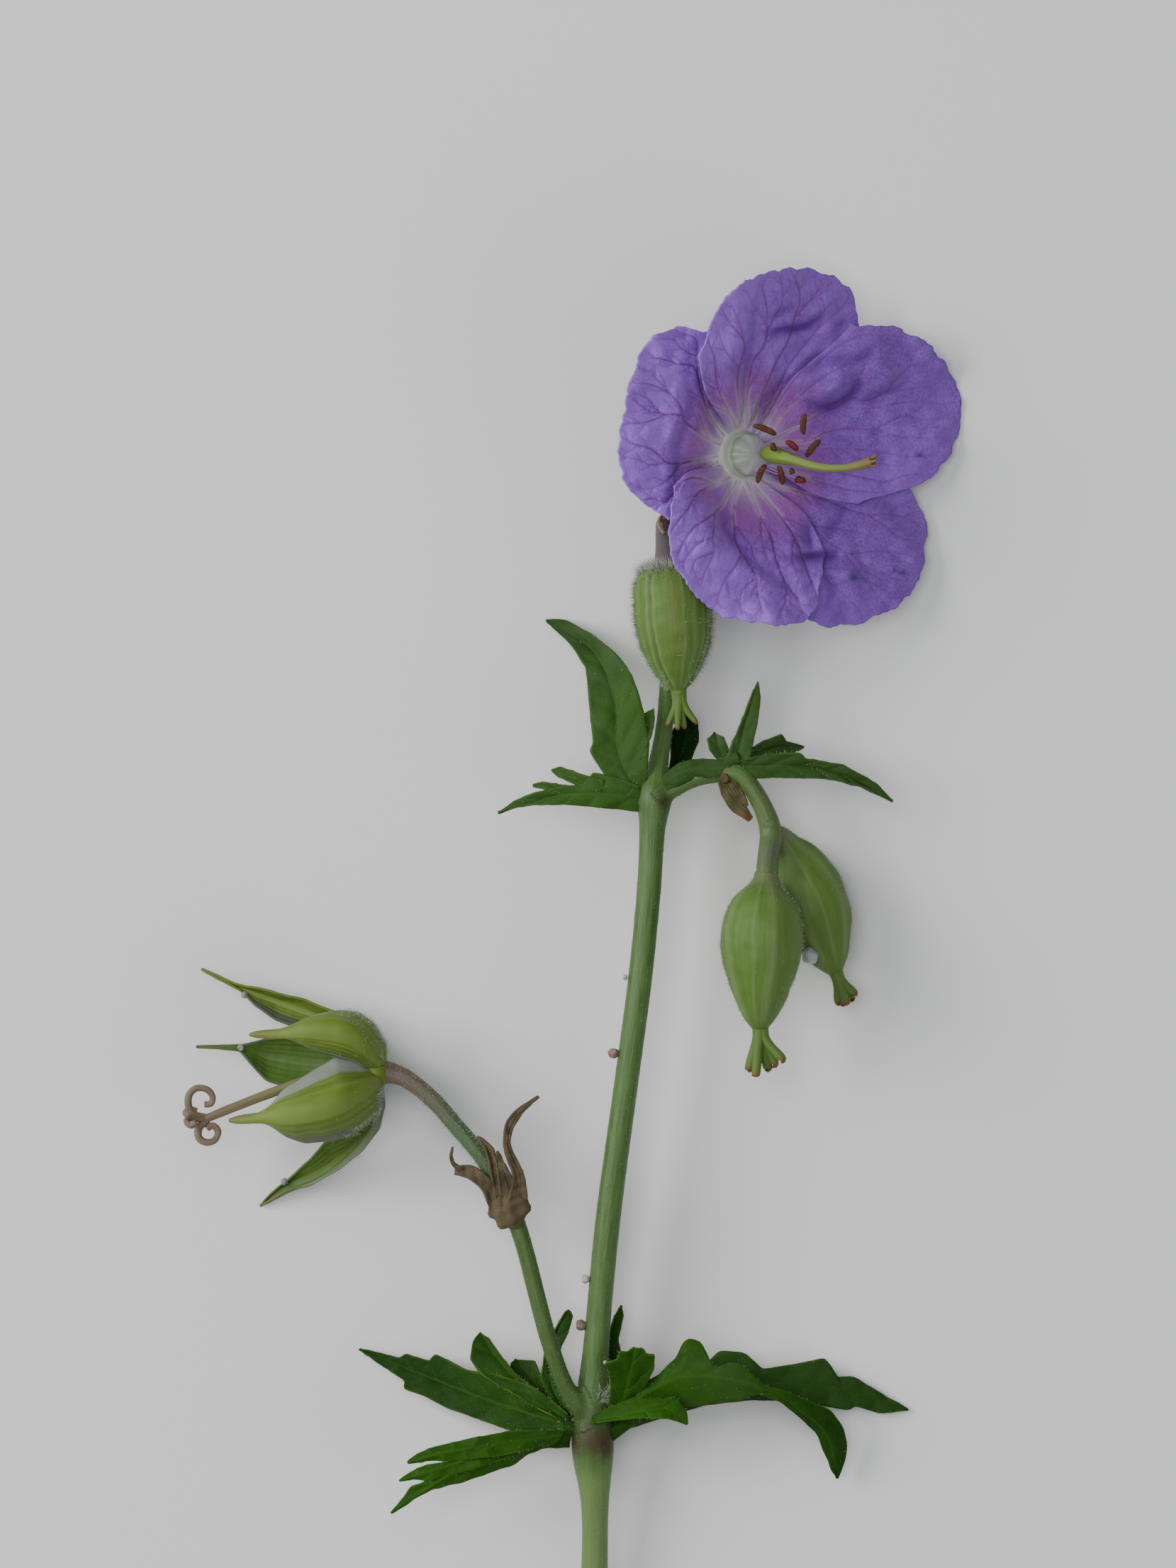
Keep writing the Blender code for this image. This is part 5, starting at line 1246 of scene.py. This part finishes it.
fadingForms = {
    "centre": (-24, 39.8, 9), "radii": (1.6, 1.9, 1.9),
    "knots": [(-38.9, 48.5, 3.9), (-39.3, 42.5, 3.4), (-36.3, 35.2, 14.2), (-34.4, 27.3, 1.6)],
    # rib, left edge, right edge, lift of the edges, bulge, and where silvery margins and veils start
    "sepals": [
        ([(-24, 41, 8), (-28.5, 45, 5.4), (-34.5, 47.4, 4), (-39.4, 49.2, 3.8), (-43.8, 51.4, 3.4)],
         [(-25, 40.5), (-29, 43.6), (-33, 44.8), (-35.5, 45.8), (-37.6, 47.2), (-39.2, 48.9), (-41, 50.1),
          (-43.7, 51.38)],
         [(-23.6, 42.4), (-27, 46), (-32, 47.9), (-36, 49), (-39.6, 49.6), (-41.6, 50.4), (-43.8, 51.48)],
         (0.6, 0.9), -0.2, (1.2, 1.2, 0.5, 1.2)),
        ([(-23.6, 40.5, 10.4), (-27, 43.6, 13.4), (-31, 44.3, 13.9), (-34.6, 44, 13.4), (-38.2, 44.05, 12.8)],
         [(-23, 40), (-24.8, 40.3), (-27, 41.3), (-29, 42), (-31.5, 42.7), (-34, 43.8), (-36, 43.99),
          (-38.2, 44.05)],
         [(-22.9, 40.8), (-23, 43), (-24.2, 45.2), (-25.8, 46.5), (-28, 46.8), (-30.5, 46.1), (-32.2, 45.1),
          (-33.6, 44.35), (-36, 44.16), (-38.2, 44.1)],
         (-0.7, -0.9), 0.35, (0.86, 1.2, 1.2, 1.2)),
        ([(-24.2, 40, 7.4), (-30, 40.8, 4.2), (-35.5, 41.4, 3), (-39.3, 42.4, 3.2), (-44.4, 42.6, 3.4)],
         [(-24.4, 38.6), (-28, 37.4), (-33, 37.6), (-36.4, 38.8), (-38.2, 40.6), (-39.4, 42.15),
          (-41.5, 42.4), (-44.4, 42.52)],
         [(-24, 41.5), (-28, 43.4), (-33, 43.8), (-36.5, 43.4), (-39, 42.85), (-41.5, 42.72), (-44.4, 42.66)],
         (0.35, 0.35), -0.2, (1.2, 1.2, 0.96, 0.96)),
        ([(-23.8, 38.8, 10.6), (-28, 36.4, 13.8), (-32.5, 35.4, 14.5), (-36.6, 34.9, 14),
          (-40.5, 34.4, 13.4)],
         [(-23.4, 37.8), (-23.9, 35), (-26, 33.2), (-29, 32.2), (-31.8, 31.9), (-34, 32.6), (-36, 34.35),
          (-38.4, 34.35), (-40.5, 34.35)],
         [(-24, 39.8), (-26, 41), (-28.6, 41.4), (-31.5, 39.6), (-34.4, 37.7), (-36.2, 35.7), (-37, 34.95),
          (-38.6, 34.6), (-40.5, 34.45)],
         (-0.8, -0.6), 0.35, (1.2, 0.5, 0.62, 1.2)),
        ([(-23.8, 38.4, 8), (-25.2, 33, 5.8), (-29.4, 29, 3), (-34.4, 26.6, 1.3), (-37.2, 24.5, 0.5)],
         [(-23.2, 38.5), (-23, 36), (-23.6, 33.5), (-25.5, 30.9), (-28.5, 28.6), (-31, 27.3), (-33.5, 26.6),
          (-35.4, 25.75), (-37.2, 24.42)],
         [(-24.4, 38), (-25, 34.8), (-26.8, 32.6), (-29.8, 31.8), (-31.5, 29.8), (-34, 27.5), (-35.6, 26.15),
          (-37.2, 24.55)],
         (0.9, 0.5), -0.2, (0.25, 1.2, 1.2, 1.2)),
    ],
    "column": [(-24.6, 39.8, 9.1, 0.9), (-26.2, 39.9, 9.1, 0.9), (-28.5, 39.7, 9.2, 0.75),
               (-33, 38.4, 9.6, 0.6), (-38, 36.6, 10, 0.52), (-43.2, 34.5, 10.4, 0.48)],
    "stigmas": [
        [(-43, 34.6, 10.4), (-44.6, 35.1, 10.8), (-45.1, 36.1, 11), (-45, 37.3, 11.1), (-44.2, 38, 11.2),
         (-43.1, 37.9, 11.2), (-42.4, 37.1, 11.1), (-42.6, 36.3, 11), (-43.3, 36.2, 10.9)],
        [(-43, 34.4, 10.4), (-43.9, 33.5, 10.7), (-43.9, 32.4, 10.8), (-43, 31.9, 10.9), (-42.1, 32.2, 10.9),
         (-41.8, 33.1, 10.8), (-42.4, 33.8, 10.7), (-43, 33.4, 10.6)],
        [(-43, 34.4, 10.4), (-44.6, 34.7, 11.3), (-45.3, 34.3, 12.2), (-44.8, 33.8, 12.8), (-44.2, 34.2, 13)],
        [(-43, 34.4, 10.4), (-44.8, 34.9, 9.8), (-45.5, 35.2, 8.8), (-45, 35.6, 8), (-44.2, 35.4, 7.9)],
    ],
    "inside": (0.1, 0.0, 1.0, 0.0, 0.8), "rims": (1.0, 1.0, 1.0, 1.0, 0.45), "brownBase": (0, 0, 0, 0.35, 0),
    "nerves": ((0.2, 0.13), (0.42, 0.13), (0.66, 0.12)), "grooves": (0.31, 0.54, 0.78), "stigmaRadius": 0.42,
    "yellow": (0.18, 0.20, 0.05), "brownPink": (0.175, 0.12, 0.075), "fibre": (0.10, 0.075, 0.04),
}


def fadingFlower(forms):
    parts = [lump("fadingCalyx", 40, 24, forms["centre"], forms["radii"], 0.05, 1.2, 3)]
    for order, (rib, left, right, lift, bulge, margins) in enumerate(forms["sepals"]):
        sepal = blade("sepal", rib, left, right, lift, bulge, columns=30, rows=90, thick=0.26, seed=order,
                      nerves=forms["nerves"], pinnate=0, crinkle=0.025, swells=0.1)
        share, margin, inside = readBack(sepal, "share"), readBack(sepal, "margin"), forms["inside"][order]
        rightHand = readBack(sepal, "rightHand") > 0.5
        veiled = smooth(share, 0.2, 0.35)
        for label, start, base in (("silver", margins[:2], 1), ("veil", margins[2:], veiled)):
            start = np.where(rightHand, *start[::-1])
            rim = forms["rims"][order] * smooth(margin, start - 0.05, start + 0.05)
            note(sepal, label, rim * ((1 - smooth(share, 0.7, 0.8)) * base))
        # painted shade: dark lines between the nerves stand in for shade in the grooves
        between = np.max([bump(margin - spot, 0.05) for spot in forms["grooves"]], axis=0)
        note(sepal, "groove", (0.4 - 0.3 * inside) * between * smooth(share, 0.03, 0.15)
             * (1 - smooth(share, 0.55, 0.8)))
        note(sepal, "tip", 0.55 * smooth(share, 0.78, 0.93)
             + forms["brownBase"][order] * (1 - smooth(share, 0.02, 0.16)))
        note(sepal, "inside", inside)
        parts.append(sepal)
    for order, spot in enumerate(forms["knots"]):
        parts.append(lump("knot", 18, 12, spot, 0.4, 0.2, 0.9, order))
        note(parts[-1], "silver", 1.0)
    piece = joined(parts, "fadingCalyx")
    noteUnder(piece)
    note(piece, "under", np.maximum(readBack(piece, "under"), readBack(piece, "inside")))
    dress(piece, "fading_calyx", sepalGreen)
    hairs("fadingCalyxHairs", piece, "calyx", 1800, 0.65, 0.036, seed=51,
          keep=lambda spot, out: smooth(spot[:, 0], -29, -24) * (((spot - (-29, 39.5, 9)) * out).sum(1) > 0)
          * (0.03 + 0.9 * (np.abs(out[:, 2]) < 0.3)) * (np.abs(spot[:, 1] - 39.6) > 1.6))
    material, tree, shader, _ = surface("columnPink", 0.5)
    streak = streaks(tree, 2.0)
    colour = blend(tree, spread(tree, reading(tree, "share"), 0.5, 1.0), forms["yellow"], forms["brownPink"])
    coat(tree, shader, layered(tree, colour, (streak, forms["fibre"], 0.35)), streak, 0.05, 0.6)
    parts = [stalk("fadingColumn", forms["column"], 24, 0.3, ribs=5, ribDepth=0.07, uneven=0.04)]
    for order, points in enumerate(forms["stigmas"]):
        route = [(*point, forms["stigmaRadius"] * (1 - 0.25 * step / len(points)))
                 for step, point in enumerate(points)]
        parts.append(stalk("curl", route, 12, 0.16, ribs=2, ribDepth=0.12, uneven=0.08, seed=order))
        note(parts[-1], "share", 1.0)
    dress(joined(parts, "fadingColumn"), "fading_column", material)


fadingFlower(fadingForms)
print("fading flower built")

# Dry papery bracts
bractForms = {   # CAD node, middle and radii of the knot, and each blade's rib and half widths
    "leftBracts": ("bracts_left", (-9, 24.7, 10.4), (2.35, 2.5, 1.9), [
        ([(-8.2, 24.4, 11.6), (-7.8, 28, 12.4), (-9.2, 31.6, 12), (-8.4, 34.6, 11.4), (-5.6, 37.1, 10.8)],
         (1.25, 0.7, 0.42, 0.5, 0.1)),
        ([(-9.4, 24.4, 11.8), (-10.4, 28, 12), (-11.2, 31, 11.8), (-12.5, 32.6, 11.2)],
         (0.9, 0.55, 0.4, 0.1)),
        ([(-9.8, 24.2, 11), (-11.4, 27, 11.6), (-13.2, 28.5, 11.3), (-15.1, 28.7, 11)],
         (1.2, 0.75, 0.75, 0.4)),
        ([(-14.4, 28.8, 11.3), (-15.4, 29.8, 11.2), (-15.3, 31.4, 11)], (0.3, 0.22, 0.1)),
        ([(-9, 24, 11.8), (-9.2, 27, 12.3), (-9.9, 29.4, 12.1), (-10.2, 31, 11.8)], (1.0, 0.9, 0.5, 0.1))]),
    "rightBract": ("bract_right", (15.4, 73, 10.2), (0.6, 0.6, 0.6), [
        ([(15.1, 72.9, 10), (15.7, 71.3, 10.4), (16.9, 69.8, 10.4), (18.4, 68.3, 10)], (0.45, 0.7, 0.8, 0.3)),
        ([(15.8, 73, 10), (17, 71.2, 10.4), (17.9, 69.8, 10.4)], (0.4, 0.5, 0.2))]),
    "topBract": ("bract_top", (9, 103.4, 4.2), (0.7, 0.7, 0.7), [
        ([(8.8, 103.3, 4.8), (8.5, 102.7, 6.6), (8.1, 101.7, 8.2), (8.6, 100.6, 8.9)],
         (0.28, 0.32, 0.28, 0.12))]),
}
bractValues = {"dark": (0.05, 0.037, 0.017), "light": (0.11, 0.082, 0.038), "rib": (0.14, 0.105, 0.055),
               "olive": (0.07, 0.062, 0.02), "rust": (0.2, 0.06, 0.015), "beige": (0.27, 0.18, 0.12)}


def bractMaterial(values):
    material, tree, shader, where = surface("bractDry", 0.7, Specular_IOR_Level=0.3)
    tone, streak = mottled(tree, where, 420.0), streaks(tree, 3.2)
    colour = layered(tree, blend(tree, tone, values["dark"], values["light"]), (streak, values["rib"], 0.4),
                     *[(label, values[label]) for label in ("olive", "rust", "beige")])
    coat(tree, shader, colour, worked(tree, "ADD", times(tree, streak, 0.6), tone), 0.09, 0.8)
    return material


bractDry = bractMaterial(bractValues)
for order, (bractName, (node, middle, radii, blades)) in enumerate(bractForms.items()):
    parts = [lump("knot", 36, 22, middle, radii, 0.13, 0.9, order)]
    for number, (rib, widths) in enumerate(blades):
        edges = evenEdges(rib, widths, (0.2, 0, 1))
        parts.append(blade("bract", rib, *edges, bulge=-0.3, columns=12, rows=52, thick=0.26,
                           seed=number + 4 * order, nerves=((0.5, 0.12),), pinnate=0, crinkle=0.16,
                           swells=0.25))
    bract = joined(parts, bractName)
    low = 1 - smooth(layoutSpots(bract)[:, 1], 68.4, 69.4)
    note(bract, "olive", 0.75 * (bractName == "rightBract"))
    note(bract, "rust", 0.7 * low * (bractName == "rightBract"))
    note(bract, "beige", 0.85 * (bractName == "topBract"))
    dress(bract, node, bractDry)
print("bracts built")

# Stamens round the pale dome, and the style
stamenForms = {
    "domeHeight": 2.6, "domeRadii": (2.45, 1.75),
    "foot": [(0.5, 2.8), (1.0, 2.95), (1.4, 2.8), (1.8, 2.66), (2.2, 2.54), (2.7, 2.44)],
    "anthers": [   # middle, heading, half length, how red
        (19.9, 112.3, 15, -22, 1.4, 0), (24.2, 112.9, 14, 86, 1.2, 0.2), (23, 110.5, 14.4, -38, 0.85, 1),
        (25.25, 110.2, 13.4, 50, 1.25, 0), (20.8, 110.2, 16.2, 110, 0.5, 0.2),
        (19.35, 107.3, 15.8, 66, 1.15, 0.2), (21.75, 107.1, 15, -78, 1.1, 0.2),
        (22.9, 107.55, 16, 20, 0.3, 0.1), (23.9, 106.6, 13.8, -5, 0.65, 0.6),
        (23.7, 106.65, 12.8, 8, 0.45, 0.5)],
    "pale": (0.36, 0.38, 0.32), "footTone": (0.63, 0.66, 0.58), "ring": (0.22, 0.33, 0.14),
    "streak": (0.6, 0.6, 0.56), "lilac": (0.4, 0.33, 0.46),
    "thread": (0.33, 0.18, 0.44), "brown": (0.03, 0.009, 0.003), "tan": (0.10, 0.037, 0.011),
    "red": (0.15, 0.006, 0.012), "antherRadius": 0.37, "threadRadii": (0.12, 0.08, 0.05),
}


def stamenMaterial(values):
    material, tree, shader, where = surface("stamenBrown", 0.5, Specular_IOR_Level=0.25)
    tone = mottled(tree, where, 900.0)
    anther = layered(tree, blend(tree, tone, values["brown"], values["tan"]), ("red", values["red"], 0.85))
    colour = layered(tree, blend(tree, tone, values["pale"], shaded(values["pale"], 0.8)),
                     ("lilac", values["lilac"]), ("streak", values["streak"]), ("foot", values["footTone"]),
                     ("ring", values["ring"]), ("filament", values["thread"]), ("anther", anther))
    coat(tree, shader, colour, grouped(tree, "cells", where, 7000.0)["Height"], 0.05, 0.7)
    return material


def buildStamens(forms):
    middle = flowerPoints(0, 0, forms["domeHeight"])
    dome, turn, share = ball("dome", 80, 44)
    size = np.sin(share * math.pi)
    across = forms["domeRadii"][0] * size * (1 + 0.035 * np.abs(np.cos(5 * turn)) * size)
    above = forms["domeRadii"][1] * np.cos(share * math.pi) + 0.08 * bump(share - 0.33, 0.06)
    spots = roundSeat(forms["domeHeight"], turn, across, above)
    moveCorners(dome, spots)
    upper = share < 0.5
    note(dome, "ring", 0.8 * bump(share - 0.41, 0.04) + 0.1 * bump(share, 0.15))
    # below the ring the dome takes the pale foot tone, partly painted light against the shade where it meets
    # the foot
    note(dome, "foot", 0.7 * smooth(share, 0.43, 0.5))
    note(dome, "lilac", 0.6 * smooth(spots[:, 0], 17.6, 19.2) * upper)
    note(dome, "streak", 0.6 * np.maximum(0, np.cos(11 * turn + 2.5 * np.sin(3 * turn))) ** 2 * size * upper)
    route = [(*flowerPoints(0, 0, height), radius) for height, radius in forms["foot"]]
    foot = stalk("foot", route, 64, 0.2, ribs=10, ribDepth=0.02)
    low = 1 - smooth(readBack(foot, "share"), 0.45, 0.95)
    # the foot is painted pale up to the dome: partly its own whitish colour, partly painted light that lifts
    # the shade on its steep wall
    note(foot, "foot", np.maximum(low, 0.6))
    note(foot, "ring", 0.25 * (1 - low))
    parts = [dome, foot]
    for order, (x, y, z, heading, halfLength, red) in enumerate(forms["anthers"]):
        centre = np.array((x, y, z), float)
        away = unit((centre - middle) * (1, 1, 0))
        lateral = unit(away - flowerUp * np.dot(away, flowerUp))
        root = middle + lateral * 2.2 - flowerUp * 0.3
        bow = (root + centre) / 2 + lateral * 0.25
        route = [(*spot, radius) for spot, radius in zip((root, bow, centre), forms["threadRadii"])]
        filament = stalk("filament", route, 10, 0.3)
        note(filament, "filament", 1.0)
        turnTo = math.radians(heading)
        way = np.array((math.cos(turnTo), math.sin(turnTo), 0.1 * math.sin(order)))
        flat = unit(np.cross(way, (0, 0, 1)))
        anther, turn, share = ball("anther", 28, 20)
        size = forms["antherRadius"] * np.sin(share * math.pi) ** 0.7 * (1 - 0.3 * np.abs(np.sin(turn)) ** 6)
        curve = 0.12 * np.cos(share * math.pi) ** 2
        spots = centre + way * (np.cos(share * math.pi) * halfLength)[:, None] \
            + outward(flat, np.cross(flat, way), turn) * size[:, None] + flat * curve[:, None]
        moveCorners(anther, spots + unit(spots - centre) * (0.03 * swell(spots, 0.5, order))[:, None])
        note(anther, "anther", 1.0)
        note(anther, "red", red)
        parts += [filament, facingOut(anther)]
    dress(joined(parts, "stamens"), "stamens", stamenMaterial(forms))


buildStamens(stamenForms)

styleForms = {
    "route": [(20, 109.6, 11.2, 0.7), (20.7, 109.5, 13.4, 1.0), (21.8, 109.2, 15.2, 0.8),
              (23.4, 108.7, 16.5, 0.56), (25.2, 108.15, 17.4, 0.52), (27, 107.85, 18.1, 0.45),
              (29, 107.9, 18.5, 0.44), (30.6, 108.2, 18.8, 0.55), (31.8, 108.6, 19, 0.62)],
    "arm": [(30.6, 108.2, 18.8, 0.3, 0.2), (31.6, 108.5, 18.95, 0.42, 0.22), (32.3, 108.65, 19, 0.62, 0.16)],
    "green": (0.135, 0.225, 0.02), "middle": (0.16, 0.205, 0.045), "tan": (0.185, 0.10, 0.045),
    "fibre": (0.22, 0.26, 0.08),
}


def buildStyle(forms):
    material, tree, shader, _ = surface("styleGreen", 0.5, Specular_IOR_Level=0.3)
    streak, share = streaks(tree, 2.0), reading(tree, "share")
    colour = layered(tree, blend(tree, spread(tree, share, 0.2, 0.5), forms["green"], forms["middle"]),
                     (spread(tree, share, 0.68, 0.95), forms["tan"]), (streak, forms["fibre"], 0.25))
    coat(tree, shader, colour, streak, 0.04, 0.6)
    parts = [stalk("style", forms["route"], 28, 0.25, ribs=5, ribDepth=0.05, uneven=0.03)]
    for order in range(5):
        turn = order * 1.2566 + 0.3
        out = np.array((0.1, math.cos(turn), math.sin(turn)))
        route = [(*(np.array(spot) + out * apart), radius) for *spot, apart, radius in forms["arm"]]
        parts.append(stalk("arm", route, 10, 0.15, uneven=0.06))
        note(parts[-1], "share", 1.0)
    dress(joined(parts, "style"), "style", material)


buildStyle(styleForms)
print("stamens and style built")

# Small crumbs caught on the stem, and a pale drop on the rear bud
crumbValues = {
    "spots": [((-0.8, 11.2, 7.4), 0.65, 0), ((-0.3, 16.4, 7.9), 0.5, 1), ((2.85, 41.9, 9), 0.6, 0),
              ((4.15, 50.5, 9.2), 0.3, 1), ((25, 52.9, 7.3), 0.95, 1), ((1.9, 7, 8.2), 0.25, 1)],
    "tones": ((0.20, 0.11, 0.08), (0.42, 0.46, 0.48)), "dust": (0.22, 0.2, 0.18),
}


def buildCrumbs(values):
    material, tree, shader, where = surface("crumb", 0.5)
    tone = mottled(tree, where, 1200.0)
    colour = layered(tree, blend(tree, reading(tree, "pale"), *values["tones"]), (tone, values["dust"], 0.5))
    coat(tree, shader, colour, tone, 0.1, 0.8)
    parts = []
    for order, (spot, size, pale) in enumerate(values["spots"]):
        parts.append(lump("crumb", 20, 14, spot, size, 0.12, 1.3, order))
        note(parts[-1], "pale", float(pale))
    dress(joined(parts, "crumbs"), None, material)


buildCrumbs(crumbValues)
